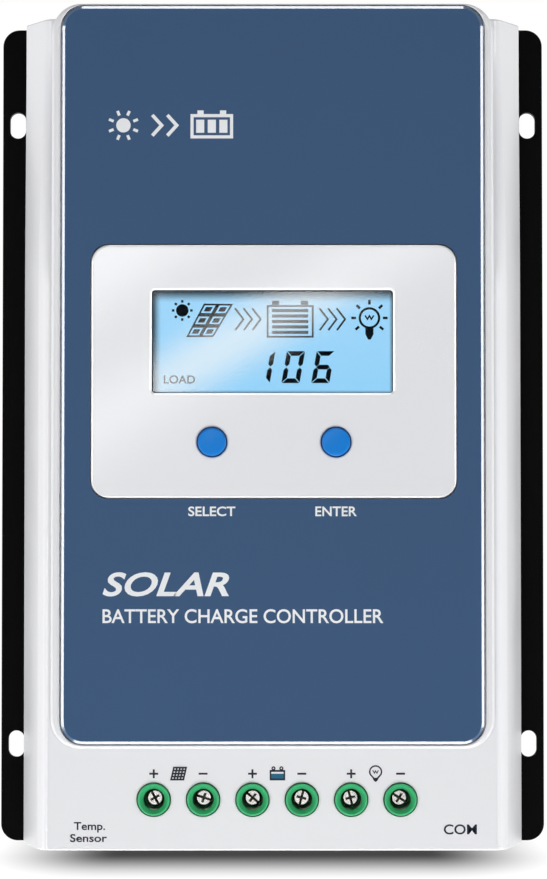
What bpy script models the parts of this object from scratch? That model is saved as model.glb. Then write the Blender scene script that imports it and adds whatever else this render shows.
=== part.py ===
"""Wall-mounted solar charge controller, modelled as the assembly that comes apart on a bench.

Frame: the origin is the centre of the wall plane behind the heat sink, X to the right, Z up,
and the front of the controller faces -Y. All sizes are in metres.
"""
import math

import bmesh
import bpy
from mathutils import Matrix, Vector

# ---------------------------------------------------------------- driving dimensions
BODY_HEIGHT = 0.270
FLANGE_WIDTH = 0.180
FLANGE_THICKNESS = 0.003
FLANGE_CORNER = 0.0055
SAWING_ALLOWANCE = 0.0010
SLOT_SPACING_X = 0.170
SLOT_SPACING_Z = 0.206
SLOT_WIDTH = 0.0053
SLOT_LENGTH = 0.0087

# Depths are Y values: the wall is at 0 and the front is the most negative.
PLATE_BACK_Y = -0.010
LIP_FRONT_Y = -0.0122
PLATE_FRONT_Y = -0.016
FIN_TIP_Y = -0.0006
FIN_PITCH = 0.009
FIN_THICKNESS = 0.0018
FINS_EACH_SIDE = 7
CENTRE_LAND = 0.008

HOUSING_BACK_Y = -0.0125
HOUSING_HALF_WIDTH = 0.0815
HOUSING_LEAN = 0.0065
WALL = 0.0025
SHOULDER_TOP_Y = -0.0275
TERMINAL_FACE_Y = -0.0614
RIM_Y = -0.0622
SWEEP_START_Z = 0.045
SWEEP_END_Z = 0.125
PANEL_HALF_WIDTH = 0.0705
PANEL_BOTTOM_Z = -0.1028
PANEL_CORNER = 0.0095
PANEL_CAVITY_FRONT_Y = -0.0585
CAVITY_BACK_Y = -0.0110
SHOULDER_HALF_HEIGHT = 0.1347

FASCIA_HALF_WIDTH = 0.0677
FASCIA_BOTTOM_Z = -0.1011
FASCIA_TOP_Z = 0.1340
FASCIA_CORNER = 0.007
FASCIA_FRONT_Y = -0.0626
POCKET_FLOOR_Y = -0.0605

BEZEL_X = (-0.0576, 0.0586)
BEZEL_Z = (-0.0231, 0.0578)
BEZEL_CORNER = 0.0055
BEZEL_FRONT_Y = -0.0630
WINDOW_X = (-0.0385, 0.0384)
WINDOW_Z = (0.0102, 0.0431)
WINDOW_CORNER = 0.0012

BUTTON_Z = -0.0054
BUTTON_X = {"select": -0.0193, "enter": 0.0202}
BUTTON_HOLE_RADIUS = 0.00495
BUTTON_RADIUS = 0.0045
BUTTON_FRONT_Y = -0.0638

DISPLAY_BOARD_Y = (-0.0537, -0.0521)
MAIN_BOARD_Y = (-0.0236, -0.0220)
MAIN_BOARD_HALF_WIDTH = 0.0665
MAIN_BOARD_Z = (-0.1315, 0.0900)

TERMINAL_PITCH = 0.01566
TERMINAL_CENTRE_X = 0.00145
TERMINAL_Z = -0.1189
TERMINAL_PAIRS = ("solar", "battery", "load")
TERMINAL_BLOCK_Z = (-0.1322, -0.1060)
TERMINAL_BLOCK_FRONT_Y = -0.0586
COLLAR_RADIUS = 0.0051
COLLAR_FRONT_Y = -0.0622
WELL_MOUTH_RADIUS = 0.0041
WELL_FLOOR_RADIUS = 0.0034
SCREW_HEAD_RADIUS = 0.0027
SCREW_HEAD_Y = (-0.0465, -0.0445)
SCREW_SHANK_RADIUS = 0.0020
SCREW_TIP_Y = -0.0360
CAGE_CHANNEL_Y = (-0.0433, -0.0249)
CAGE_HALF_WIDTH = 0.0055
CAGE_HALF_LENGTH = 0.0045
CAGE_WALL = 0.0015
CAGE_Y = (-0.0385, -0.0252)
CAGE_TOP_THICKNESS = 0.0023
BAR_Y = (-0.0357, -0.0342)

COM_X = 0.0595
SENSOR_X = -0.0586
SOCKET_FACE_Z = -0.1346

COVER_SCREW_X = 0.0710
COVER_SCREW_Z = (-0.1040, 0.1200)
BOARD_SCREW_X = 0.0600
BOARD_SCREW_Z = (-0.0900, 0.0800)
M3_RADIUS = 0.0015
M3_HOLE_RADIUS = 0.0018
M3_HEAD_RADIUS = 0.00275

GAP = 0.0003

HALF_HEIGHT = BODY_HEIGHT / 2

# ---------------------------------------------------------------- scene and materials
for old in list(bpy.data.objects):
    bpy.data.objects.remove(old, do_unlink=True)

PARTS = bpy.data.collections.new("charge_controller")
bpy.context.scene.collection.children.link(PARTS)
CUTTERS = bpy.data.collections.new("cutters")
bpy.context.scene.collection.children.link(CUTTERS)


def material(name, colour, roughness, metallic=0.0):
    mat = bpy.data.materials.new(name)
    mat.use_nodes = True
    shader = mat.node_tree.nodes["Principled BSDF"]
    shader.inputs["Base Color"].default_value = (*colour, 1.0)
    shader.inputs["Roughness"].default_value = roughness
    shader.inputs["Metallic"].default_value = metallic
    return mat


BLACK_ANODISED = material("black_anodised", (0.012, 0.012, 0.014), 0.45, 0.6)
WHITE_PLASTIC = material("white_plastic", (0.76, 0.77, 0.80), 0.35)
BLUE_PLATE = material("blue_plate", (0.05, 0.10, 0.18), 0.30)
BEZEL_GREY = material("bezel_grey", (0.78, 0.79, 0.82), 0.25)
CLEAR_WINDOW = material("clear_window", (0.85, 0.92, 0.95), 0.05)
LCD_GLASS = material("lcd_glass", (0.36, 0.68, 0.95), 0.15)
BACKLIGHT_WHITE = material("backlight_white", (0.85, 0.90, 0.95), 0.50)
BUTTON_BLUE = material("button_blue", (0.01, 0.21, 0.68), 0.35)
SWITCH_BLACK = material("switch_black", (0.02, 0.02, 0.02), 0.50)
BOARD_GREEN = material("board_green", (0.01, 0.12, 0.05), 0.40)
TERMINAL_GREEN = material("terminal_green", (0.05, 0.40, 0.15), 0.40)
NICKEL = material("nickel", (0.62, 0.61, 0.58), 0.30, 1.0)
ZINC = material("zinc", (0.66, 0.67, 0.68), 0.35, 1.0)
TINNED_COPPER = material("tinned_copper", (0.75, 0.72, 0.68), 0.30, 1.0)
SOCKET_BLACK = material("socket_black", (0.015, 0.015, 0.016), 0.50)
GOLD_CONTACT = material("gold_contact", (0.83, 0.62, 0.25), 0.30, 1.0)
CABLE_GREY = material("cable_grey", (0.45, 0.46, 0.48), 0.60)
FERRITE = material("ferrite", (0.40, 0.38, 0.10), 0.60)
COPPER = material("copper", (0.72, 0.30, 0.12), 0.30, 1.0)
CAPACITOR_SLEEVE = material("capacitor_sleeve", (0.03, 0.03, 0.06), 0.35)
EPOXY_BLACK = material("epoxy_black", (0.02, 0.02, 0.02), 0.55)
THERMAL_PAD = material("thermal_pad", (0.45, 0.50, 0.55), 0.80)
BRASS = material("brass", (0.75, 0.58, 0.25), 0.30, 1.0)


# ---------------------------------------------------------------- modelling tools
def add_object(name, mesh, mat=None):
    """Link a mesh as a part of the controller, or as a cutter when it has no material."""
    obj = bpy.data.objects.new(name, mesh)
    if mat is None:
        CUTTERS.objects.link(obj)
        obj.hide_render = True
        obj.display_type = "WIRE"
    else:
        PARTS.objects.link(obj)
        mesh.materials.append(mat)
    return obj


def finish_mesh(name, bm, origin=(0.0, 0.0, 0.0)):
    bmesh.ops.recalc_face_normals(bm, faces=bm.faces)
    bmesh.ops.translate(bm, verts=bm.verts, vec=-Vector(origin))
    mesh = bpy.data.meshes.new(name)
    bm.to_mesh(mesh)
    bm.free()
    return mesh


def box(name, low, high, mat=None, origin=(0.0, 0.0, 0.0)):
    """A block between two opposite corners."""
    low = Vector(low)
    high = Vector(high)
    size = high - low
    bm = bmesh.new()
    bmesh.ops.create_cube(bm, size=1.0)
    bmesh.ops.scale(bm, verts=bm.verts, vec=size)
    bmesh.ops.translate(bm, verts=bm.verts, vec=(low + high) / 2)
    obj = add_object(name, finish_mesh(name, bm, origin), mat)
    obj.location = origin
    return obj


def prism(name, outline, axis, start, end, mat=None, origin=(0.0, 0.0, 0.0)):
    """A flat outline swept along X, Y or Z; the outline holds the other two coordinates in order."""
    slot = "XYZ".index(axis)
    bm = bmesh.new()
    ring = []
    for first, second in outline:
        point = [first, second]
        point.insert(slot, start)
        ring.append(bm.verts.new(point))
    face = bm.faces.new(ring)
    swept = bmesh.ops.extrude_face_region(bm, geom=[face])
    moved = [item for item in swept["geom"] if isinstance(item, bmesh.types.BMVert)]
    travel = Vector((0.0, 0.0, 0.0))
    travel[slot] = end - start
    bmesh.ops.translate(bm, verts=moved, vec=travel)
    obj = add_object(name, finish_mesh(name, bm, origin), mat)
    obj.location = origin
    return obj


def turned(name, profile, x, z, steps, mat=None):
    """A turned shape about a line that runs front to back; the profile is (radius, y), front first."""
    mesh = bpy.data.meshes.new(name)
    points = [(radius, 0.0, -y) for radius, y in profile]
    edges = [(index, index + 1) for index in range(len(points) - 1)]
    mesh.from_pydata(points, edges, [])
    obj = add_object(name, mesh, mat)
    obj.location = (x, 0.0, z)
    obj.rotation_euler = (math.pi / 2, 0.0, 0.0)
    screw = obj.modifiers.new("turn", "SCREW")
    screw.axis = "Z"
    screw.steps = steps
    screw.render_steps = steps
    screw.use_merge_vertices = True
    screw.merge_threshold = 0.00001
    screw.use_smooth_shade = True
    return obj


def rod(name, x, z, radius, y_front, y_back, steps, mat=None):
    """A plain round bar that runs front to back."""
    profile = ((0.0, y_front), (radius, y_front), (radius, y_back), (0.0, y_back))
    return turned(name, profile, x, z, steps, mat)


def boolean(target, tool, operation="DIFFERENCE"):
    modifier = target.modifiers.new(tool.name, "BOOLEAN")
    modifier.operation = operation
    modifier.solver = "EXACT"
    modifier.object = tool


def rounded_rectangle(x_range, z_range, radius, steps=4):
    x0, x1 = x_range
    z0, z1 = z_range
    corners = (
        (x1 - radius, z1 - radius, 0.0),
        (x0 + radius, z1 - radius, 90.0),
        (x0 + radius, z0 + radius, 180.0),
        (x1 - radius, z0 + radius, 270.0),
    )
    points = []
    for centre_x, centre_z, start in corners:
        for index in range(steps + 1):
            angle = math.radians(start + 90.0 * index / steps)
            points.append((centre_x + radius * math.cos(angle), centre_z + radius * math.sin(angle)))
    return points


def widened(limits, margin):
    return limits[0] - margin, limits[1] + margin


# ---------------------------------------------------------------- heat sink
def heat_sink_section():
    """Half of the extrusion's section from the front centre round to the back centre, then mirrored."""
    plate_edge = 0.0780
    side_wall_inside = 0.0756
    flange_edge = FLANGE_WIDTH / 2 + SAWING_ALLOWANCE
    half = [
        (plate_edge, PLATE_FRONT_Y),
        (plate_edge, LIP_FRONT_Y),
        (0.0810, LIP_FRONT_Y),
        (0.0810, PLATE_BACK_Y),
        (plate_edge, PLATE_BACK_Y),
        (plate_edge, -FLANGE_THICKNESS),
        (flange_edge, -FLANGE_THICKNESS),
        (flange_edge, 0.0),
        (side_wall_inside, 0.0),
        (side_wall_inside, PLATE_BACK_Y),
    ]
    for number in range(FINS_EACH_SIDE, 0, -1):
        outer = number * FIN_PITCH + FIN_THICKNESS / 2
        inner = number * FIN_PITCH - FIN_THICKNESS / 2
        half += [(outer, PLATE_BACK_Y), (outer, FIN_TIP_Y), (inner, FIN_TIP_Y), (inner, PLATE_BACK_Y)]
    half += [(CENTRE_LAND / 2, PLATE_BACK_Y), (CENTRE_LAND / 2, 0.0)]
    return half + [(-x, y) for x, y in reversed(half)]


def make_heat_sink():
    half_length = HALF_HEIGHT + SAWING_ALLOWANCE
    sink = prism("heat_sink", heat_sink_section(), "Z", -half_length, half_length, BLACK_ANODISED)
    outline = rounded_rectangle(
        (-FLANGE_WIDTH / 2, FLANGE_WIDTH / 2), (-HALF_HEIGHT, HALF_HEIGHT), FLANGE_CORNER
    )
    boolean(sink, prism("flange_corner_guide", outline, "Y", -0.030, 0.010), "INTERSECT")
    for side in (-1, 1):
        slot_x = side * SLOT_SPACING_X / 2
        for level in (-1, 1):
            slot_z = level * SLOT_SPACING_Z / 2
            slot = rounded_rectangle(
                (slot_x - SLOT_WIDTH / 2, slot_x + SLOT_WIDTH / 2),
                (slot_z - SLOT_LENGTH / 2, slot_z + SLOT_LENGTH / 2),
                SLOT_WIDTH / 2 - 0.00001,
            )
            boolean(sink, prism(f"slot_cutter_{side}_{level}", slot, "Y", -0.006, 0.003))
        end_low = min(side * 0.1321, side * 0.1400)
        end_high = max(side * 0.1321, side * 0.1400)
        end_cut = box(f"end_step_{side}", (-0.0790, -0.020, end_low), (0.0790, LIP_FRONT_Y, end_high))
        boolean(sink, end_cut)
        for z in COVER_SCREW_Z:
            hole = rod(f"cover_hole_{side}_{z}", side * COVER_SCREW_X, z, M3_HOLE_RADIUS, -0.020, -0.008, 12)
            boolean(sink, hole)
        for z in BOARD_SCREW_Z:
            hole = rod(f"board_hole_{side}_{z}", side * BOARD_SCREW_X, z, M3_HOLE_RADIUS, -0.020, -0.0122, 12)
            boolean(sink, hole)


# ---------------------------------------------------------------- housing
def shoulder_front(z, inset):
    """Depth of the shoulders: full depth low down, sweeping back to thin shoulders at the top."""
    share = min(max((z - SWEEP_START_Z) / (SWEEP_END_Z - SWEEP_START_Z), 0.0), 1.0)
    smooth = share * share * (3.0 - 2.0 * share)
    return TERMINAL_FACE_Y + (SHOULDER_TOP_Y - TERMINAL_FACE_Y) * smooth + inset


def shoulder_side(z, inset, back_y):
    """The right side of one section: upright at the back, leaning in, then rounding to the front."""
    front = shoulder_front(z, inset)
    back = HOUSING_BACK_Y
    half_width = HOUSING_HALF_WIDTH - inset
    depth = front - back
    points = [(half_width, back_y), (half_width, back + 0.15 * depth)]
    start = Vector((half_width - 0.80 * HOUSING_LEAN, back + 0.86 * depth))
    corner = Vector((half_width - HOUSING_LEAN, front))
    end = Vector((half_width - 1.35 * HOUSING_LEAN, front))
    steps = 4
    for index in range(steps + 1):
        t = index / steps
        point = start * (1 - t) ** 2 + corner * (2 * t * (1 - t)) + end * t ** 2
        points.append((point.x, point.y))
    return points


def shoulder_body(name, inset, back_y, mat=None):
    """Loft of unlike sections from the bottom end of the housing to its top end."""
    sweep_steps = 10
    levels = [-HALF_HEIGHT + inset]
    for index in range(sweep_steps + 1):
        levels.append(SWEEP_START_Z + (SWEEP_END_Z - SWEEP_START_Z) * index / sweep_steps)
    levels.append(SHOULDER_HALF_HEIGHT - inset)
    bm = bmesh.new()
    rings = []
    for z in levels:
        right = shoulder_side(z, inset, back_y)
        section = right + [(-x, y) for x, y in reversed(right)]
        rings.append([bm.verts.new((x, y, z)) for x, y in section])
    for lower, upper in zip(rings, rings[1:]):
        for index in range(len(lower)):
            following = (index + 1) % len(lower)
            bm.faces.new((lower[index], lower[following], upper[following], upper[index]))
    bm.faces.new(rings[0])
    bm.faces.new(rings[-1])
    return add_object(name, finish_mesh(name, bm), mat)


def panel_block(name, inset, front_y, back_y):
    outline = rounded_rectangle(
        (-PANEL_HALF_WIDTH + inset, PANEL_HALF_WIDTH - inset),
        (PANEL_BOTTOM_Z + inset, HALF_HEIGHT - inset),
        PANEL_CORNER - inset,
    )
    return prism(name, outline, "Y", front_y, back_y)


def terminal_positions():
    return [TERMINAL_CENTRE_X + (index - 2.5) * TERMINAL_PITCH for index in range(6)]


def make_housing():
    housing = shoulder_body("housing", 0.0, HOUSING_BACK_Y, WHITE_PLASTIC)
    boolean(housing, panel_block("panel_guide", 0.0, RIM_Y, HOUSING_BACK_Y - WALL), "UNION")
    boolean(housing, shoulder_body("shoulder_cavity", WALL, CAVITY_BACK_Y))
    boolean(housing, panel_block("panel_cavity", WALL, PANEL_CAVITY_FRONT_Y, CAVITY_BACK_Y - GAP))
    pocket = rounded_rectangle(
        (-FASCIA_HALF_WIDTH - GAP, FASCIA_HALF_WIDTH + GAP),
        (FASCIA_BOTTOM_Z - GAP, FASCIA_TOP_Z + GAP),
        FASCIA_CORNER + GAP,
    )
    boolean(housing, prism("fascia_pocket", pocket, "Y", -0.070, POCKET_FLOOR_Y))
    display_opening = box("display_opening", (-0.0412, -0.070, 0.0074), (0.0412, -0.050, 0.0459))
    boolean(housing, display_opening)
    for name, x in BUTTON_X.items():
        boolean(housing, rod(f"{name}_flange_hole", x, BUTTON_Z, 0.0062, -0.070, -0.050, 20))
    for number, x in enumerate(terminal_positions(), 1):
        collar_hole = rod(f"collar_hole_{number}", x, TERMINAL_Z, COLLAR_RADIUS + 0.00035, -0.070, -0.0575, 24)
        boolean(housing, collar_hole)
        entry = rounded_rectangle((x - 0.0050, x + 0.0050), (-0.0360, -0.0250), 0.0018, 3)
        boolean(housing, prism(f"entry_hole_{number}", entry, "Z", -0.140, -0.1305))
    com_hole = box("com_hole", (COM_X - 0.0084, -0.0378, -0.140), (COM_X + 0.0084, -0.0235, -0.130))
    boolean(housing, com_hole)
    sensor_hole = box(
        "sensor_hole", (SENSOR_X - 0.0062, -0.0338, -0.140), (SENSOR_X + 0.0062, -0.0235, -0.130)
    )
    boolean(housing, sensor_hole)
    add_housing_posts(housing)


def add_housing_posts(housing):
    """Screw bosses that the cover screws bite into, and the pins that hold the display board."""
    for side in (-1, 1):
        for z in COVER_SCREW_Z:
            front = shoulder_front(z, 0.0010)
            boss = rod(f"boss_{side}_{z}", side * COVER_SCREW_X, z, 0.00375, front, PLATE_FRONT_Y - GAP, 16)
            boolean(housing, boss, "UNION")
            pilot = rod(f"pilot_{side}_{z}", side * COVER_SCREW_X, z, M3_HOLE_RADIUS, -0.0245, -0.010, 12)
            boolean(housing, pilot)
        for z in (-0.0260, 0.0530):
            pin = rod(f"display_pin_{side}_{z}", side * 0.0550, z, 0.0015, -0.0590, -0.0508, 12)
            boolean(housing, pin, "UNION")


# ---------------------------------------------------------------- front plate and display
def make_fascia_panel():
    outline = rounded_rectangle(
        (-FASCIA_HALF_WIDTH, FASCIA_HALF_WIDTH), (FASCIA_BOTTOM_Z, FASCIA_TOP_Z), FASCIA_CORNER
    )
    plate = prism("fascia_panel", outline, "Y", FASCIA_FRONT_Y, POCKET_FLOOR_Y - GAP, BLUE_PLATE)
    seat = rounded_rectangle(widened(BEZEL_X, GAP), widened(BEZEL_Z, GAP), BEZEL_CORNER + GAP)
    boolean(plate, prism("bezel_seat", seat, "Y", -0.070, -0.055))


def make_display():
    outline = rounded_rectangle(BEZEL_X, BEZEL_Z, BEZEL_CORNER)
    bezel = prism("display_bezel", outline, "Y", BEZEL_FRONT_Y, POCKET_FLOOR_Y - GAP, BEZEL_GREY)
    opening = rounded_rectangle(WINDOW_X, WINDOW_Z, WINDOW_CORNER, 2)
    boolean(bezel, prism("window_opening", opening, "Y", -0.070, -0.055))
    for name, x in BUTTON_X.items():
        boolean(bezel, rod(f"{name}_hole", x, BUTTON_Z, BUTTON_HOLE_RADIUS, -0.070, -0.055, 24))

    window = rounded_rectangle(widened(WINDOW_X, -GAP), widened(WINDOW_Z, -GAP), 0.0010, 2)
    prism("display_window", window, "Y", -0.0618, -0.0608, CLEAR_WINDOW)
    box("lcd_panel", (-0.0408, -0.0604, 0.0079), (0.0408, -0.0576, 0.0454), LCD_GLASS)
    box("lcd_backlight", (-0.0408, -0.0573, 0.0079), (0.0408, -0.0540, 0.0454), BACKLIGHT_WHITE)
    board = box(
        "display_board",
        (-0.0600, DISPLAY_BOARD_Y[0], -0.0300),
        (0.0600, DISPLAY_BOARD_Y[1], 0.0570),
        BOARD_GREEN,
    )
    for side in (-1, 1):
        for z in (-0.0260, 0.0530):
            hole = rod(f"pin_hole_{side}_{z}", side * 0.0550, z, 0.0018, -0.056, -0.050, 12)
            boolean(board, hole)


def make_buttons():
    """Each cap is captive behind the bezel and its stem works the switch below it."""
    flange_y = (-0.0606, -0.0596)
    stem_tip_y = -0.0566
    chamfer = 0.0005
    profile = (
        (0.0, BUTTON_FRONT_Y),
        (BUTTON_RADIUS - chamfer, BUTTON_FRONT_Y),
        (BUTTON_RADIUS, BUTTON_FRONT_Y + chamfer),
        (BUTTON_RADIUS, flange_y[0]),
        (0.0056, flange_y[0]),
        (0.0056, flange_y[1]),
        (0.0017, flange_y[1]),
        (0.0017, stem_tip_y),
        (0.0, stem_tip_y),
    )
    for name, x in BUTTON_X.items():
        turned(f"{name}_button", profile, x, BUTTON_Z, 24, BUTTON_BLUE)
        half = 0.0031
        switch = box(
            f"{name}_switch",
            (x - half, -0.0574, BUTTON_Z - half),
            (x + half, DISPLAY_BOARD_Y[0] - GAP, BUTTON_Z + half),
            SWITCH_BLACK,
        )
        boolean(switch, rod(f"{name}_switch_well", x, BUTTON_Z, 0.0020, -0.0600, -0.0558, 12))


def make_display_cable():
    """Flat cable that hangs in an S between the display board and the main board."""
    thickness = 0.0006
    front = DISPLAY_BOARD_Y[1] + GAP
    back = MAIN_BOARD_Y[0] - GAP
    route = ((front, -0.0180), (-0.0470, -0.0180), (-0.0430, -0.0220), (-0.0430, -0.0480),
             (-0.0390, -0.0520), (back, -0.0520))
    upper = [(y, z) for y, z in route]
    lower = [(front, -0.0180 - thickness), (-0.04725, -0.0180 - thickness),
             (-0.0430 - thickness, -0.02225), (-0.0430 - thickness, -0.04825),
             (-0.03925, -0.0520 - thickness), (back, -0.0520 - thickness)]
    prism("display_cable", upper + lower[::-1], "X", -0.0060, 0.0060, CABLE_GREY)


# ---------------------------------------------------------------- terminals
def make_terminal_block(name, centres):
    """A two-pole moulded block: screw wells to the front, wire entries to the bottom."""
    half = TERMINAL_PITCH / 2 - 0.00018
    block = box(
        name,
        (centres[0] - half, TERMINAL_BLOCK_FRONT_Y, TERMINAL_BLOCK_Z[0]),
        (centres[1] + half, MAIN_BOARD_Y[0] - GAP, TERMINAL_BLOCK_Z[1]),
        TERMINAL_GREEN,
    )
    ledge_y = -0.0443
    well = (
        (0.0, -0.0700),
        (WELL_MOUTH_RADIUS, -0.0700),
        (WELL_MOUTH_RADIUS, COLLAR_FRONT_Y),
        (WELL_FLOOR_RADIUS, -0.0480),
        (WELL_FLOOR_RADIUS, ledge_y),
        (SCREW_SHANK_RADIUS + GAP, ledge_y),
        (SCREW_SHANK_RADIUS + GAP, -0.0400),
        (0.0, -0.0400),
    )
    for number, x in enumerate(centres, 1):
        collar = rod(f"{name}_collar_{number}", x, TERMINAL_Z, COLLAR_RADIUS, COLLAR_FRONT_Y, -0.0570, 24)
        boolean(block, collar, "UNION")
        boolean(block, turned(f"{name}_well_{number}", well, x, TERMINAL_Z, 24))
        channel = box(
            f"{name}_channel_{number}",
            (x - CAGE_HALF_WIDTH - GAP, CAGE_CHANNEL_Y[0], TERMINAL_Z - CAGE_HALF_LENGTH - GAP),
            (x + CAGE_HALF_WIDTH + GAP, CAGE_CHANNEL_Y[1], TERMINAL_Z + CAGE_HALF_LENGTH + GAP),
        )
        boolean(block, channel)
        entry = box(f"{name}_entry_{number}", (x - 0.0040, -0.0342, -0.1400), (x + 0.0040, -0.0267, -0.1200))
        boolean(block, entry)
        bar_slot = box(
            f"{name}_bar_slot_{number}",
            (x - 0.0037, BAR_Y[0] - GAP, -0.1160),
            (x + 0.0037, BAR_Y[1] + GAP, -0.1000),
        )
        boolean(block, bar_slot)


def make_current_bar(name, x):
    """Bar that the wire is clamped against; its leg runs down behind the block to the main board."""
    outline = (
        (BAR_Y[0], -0.1225),
        (BAR_Y[1], -0.1225),
        (BAR_Y[1], TERMINAL_BLOCK_Z[1] + GAP),
        (MAIN_BOARD_Y[0] - GAP, TERMINAL_BLOCK_Z[1] + GAP),
        (MAIN_BOARD_Y[0] - GAP, TERMINAL_BLOCK_Z[1] + 0.0018),
        (BAR_Y[0], TERMINAL_BLOCK_Z[1] + 0.0018),
    )
    prism(name, outline, "X", x - 0.0034, x + 0.0034, TINNED_COPPER)


def make_clamp_screw(name, x):
    profile = (
        (0.0, SCREW_HEAD_Y[0]),
        (SCREW_HEAD_RADIUS - 0.0003, SCREW_HEAD_Y[0]),
        (SCREW_HEAD_RADIUS, SCREW_HEAD_Y[0] + 0.0003),
        (SCREW_HEAD_RADIUS, SCREW_HEAD_Y[1]),
        (SCREW_SHANK_RADIUS, SCREW_HEAD_Y[1]),
        (SCREW_SHANK_RADIUS, SCREW_TIP_Y),
        (0.0, SCREW_TIP_Y),
    )
    screw = turned(name, profile, x, TERMINAL_Z, 20, NICKEL)
    slot_depth = SCREW_HEAD_Y[0] + 0.0011
    long_half = 0.0040
    cross_half = 0.0015
    width_half = 0.0004
    slot = box(
        f"{name}_slot",
        (x - long_half, -0.0500, TERMINAL_Z - width_half),
        (x + long_half, slot_depth, TERMINAL_Z + width_half),
    )
    cross = box(
        f"{name}_cross",
        (x - width_half, -0.0500, TERMINAL_Z - cross_half),
        (x + width_half, slot_depth, TERMINAL_Z + cross_half),
    )
    boolean(screw, slot)
    boolean(screw, cross)


def make_clamp_cage(name, x):
    origin = (x, 0.0, TERMINAL_Z)
    cage = box(
        name,
        (x - CAGE_HALF_WIDTH, CAGE_Y[0], TERMINAL_Z - CAGE_HALF_LENGTH),
        (x + CAGE_HALF_WIDTH, CAGE_Y[1], TERMINAL_Z + CAGE_HALF_LENGTH),
        ZINC,
        origin,
    )
    window = box(
        f"{name}_window",
        (x - CAGE_HALF_WIDTH + CAGE_WALL, CAGE_Y[0] + CAGE_TOP_THICKNESS, TERMINAL_Z - 0.0060),
        (x + CAGE_HALF_WIDTH - CAGE_WALL, CAGE_Y[1] - CAGE_WALL, TERMINAL_Z + 0.0060),
    )
    boolean(cage, window)
    thread = rod(f"{name}_thread", x, TERMINAL_Z, SCREW_SHANK_RADIUS + GAP, -0.0420, -0.0340, 16)
    boolean(cage, thread)


def make_terminals():
    centres = terminal_positions()
    for index, pair in enumerate(TERMINAL_PAIRS):
        poles = centres[2 * index:2 * index + 2]
        make_terminal_block(f"{pair}_terminal_block", poles)
        for sign, x in zip(("plus", "minus"), poles):
            make_current_bar(f"{pair}_{sign}_current_bar", x)
            make_clamp_screw(f"{pair}_{sign}_clamp_screw", x)
            make_clamp_cage(f"{pair}_{sign}_clamp_cage", x)


# ---------------------------------------------------------------- sockets on the bottom face
def comb(centre, pitch, count, finger_width, base_z, tip_z):
    """Outline of a row of contact fingers that stand on one bar."""
    base_thickness = 0.0010
    first = centre - pitch * (count - 1) / 2
    half = finger_width / 2
    points = [(first - half - 0.0004, base_z + base_thickness), (first - half - 0.0004, base_z)]
    for number in range(count):
        x = first + pitch * number
        points += [(x - half, base_z), (x - half, tip_z), (x + half, tip_z), (x + half, base_z)]
    last = first + pitch * (count - 1)
    points += [(last + half + 0.0004, base_z), (last + half + 0.0004, base_z + base_thickness)]
    return points


def make_com_socket():
    back = MAIN_BOARD_Y[0] - GAP
    socket = box(
        "com_socket", (COM_X - 0.0080, -0.0374, SOCKET_FACE_Z), (COM_X + 0.0080, back, -0.1170), SOCKET_BLACK
    )
    mouth = (
        (-0.0059, -0.0350),
        (-0.0032, -0.0350),
        (-0.0032, -0.0364),
        (0.0032, -0.0364),
        (0.0032, -0.0350),
        (0.0059, -0.0350),
        (0.0059, -0.0282),
        (-0.0059, -0.0282),
    )
    outline = [(COM_X + x, y) for x, y in mouth]
    boolean(socket, prism("com_mouth", outline, "Z", -0.140, -0.1200))
    contacts = comb(COM_X, 0.00102, 8, 0.0005, -0.1213, -0.1310)
    prism("com_contacts", contacts, "Y", -0.0290, -0.0286, GOLD_CONTACT)


def make_sensor_socket():
    back = MAIN_BOARD_Y[0] - GAP
    socket = box(
        "sensor_socket", (SENSOR_X - 0.0058, -0.0334, SOCKET_FACE_Z), (SENSOR_X + 0.0058, back, -0.1220),
        TERMINAL_GREEN,
    )
    mouth = box("sensor_mouth", (SENSOR_X - 0.0046, -0.0322, -0.140), (SENSOR_X + 0.0046, -0.0252, -0.1240))
    boolean(socket, mouth)
    pin_pitch = 0.00381
    pin_y = (-0.0292, -0.0282)
    for side in (-1, 1):
        x = SENSOR_X + side * pin_pitch / 2
        hole = box(f"sensor_pin_hole_{side}", (x - 0.0008, -0.0295, -0.1260), (x + 0.0008, -0.0279, -0.1200))
        boolean(socket, hole)
    contacts = comb(SENSOR_X, pin_pitch, 2, 0.0010, -0.1217, -0.1282)
    prism("sensor_contacts", contacts, "Y", pin_y[0], pin_y[1], TINNED_COPPER)


# ---------------------------------------------------------------- electronics
def make_main_board():
    board = box(
        "main_board",
        (-MAIN_BOARD_HALF_WIDTH, MAIN_BOARD_Y[0], MAIN_BOARD_Z[0]),
        (MAIN_BOARD_HALF_WIDTH, MAIN_BOARD_Y[1], MAIN_BOARD_Z[1]),
        BOARD_GREEN,
    )
    for side in (-1, 1):
        for z in BOARD_SCREW_Z:
            hole = rod(f"main_board_hole_{side}_{z}", side * BOARD_SCREW_X, z, M3_HOLE_RADIUS, -0.026, -0.020, 12)
            boolean(board, hole)


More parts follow.
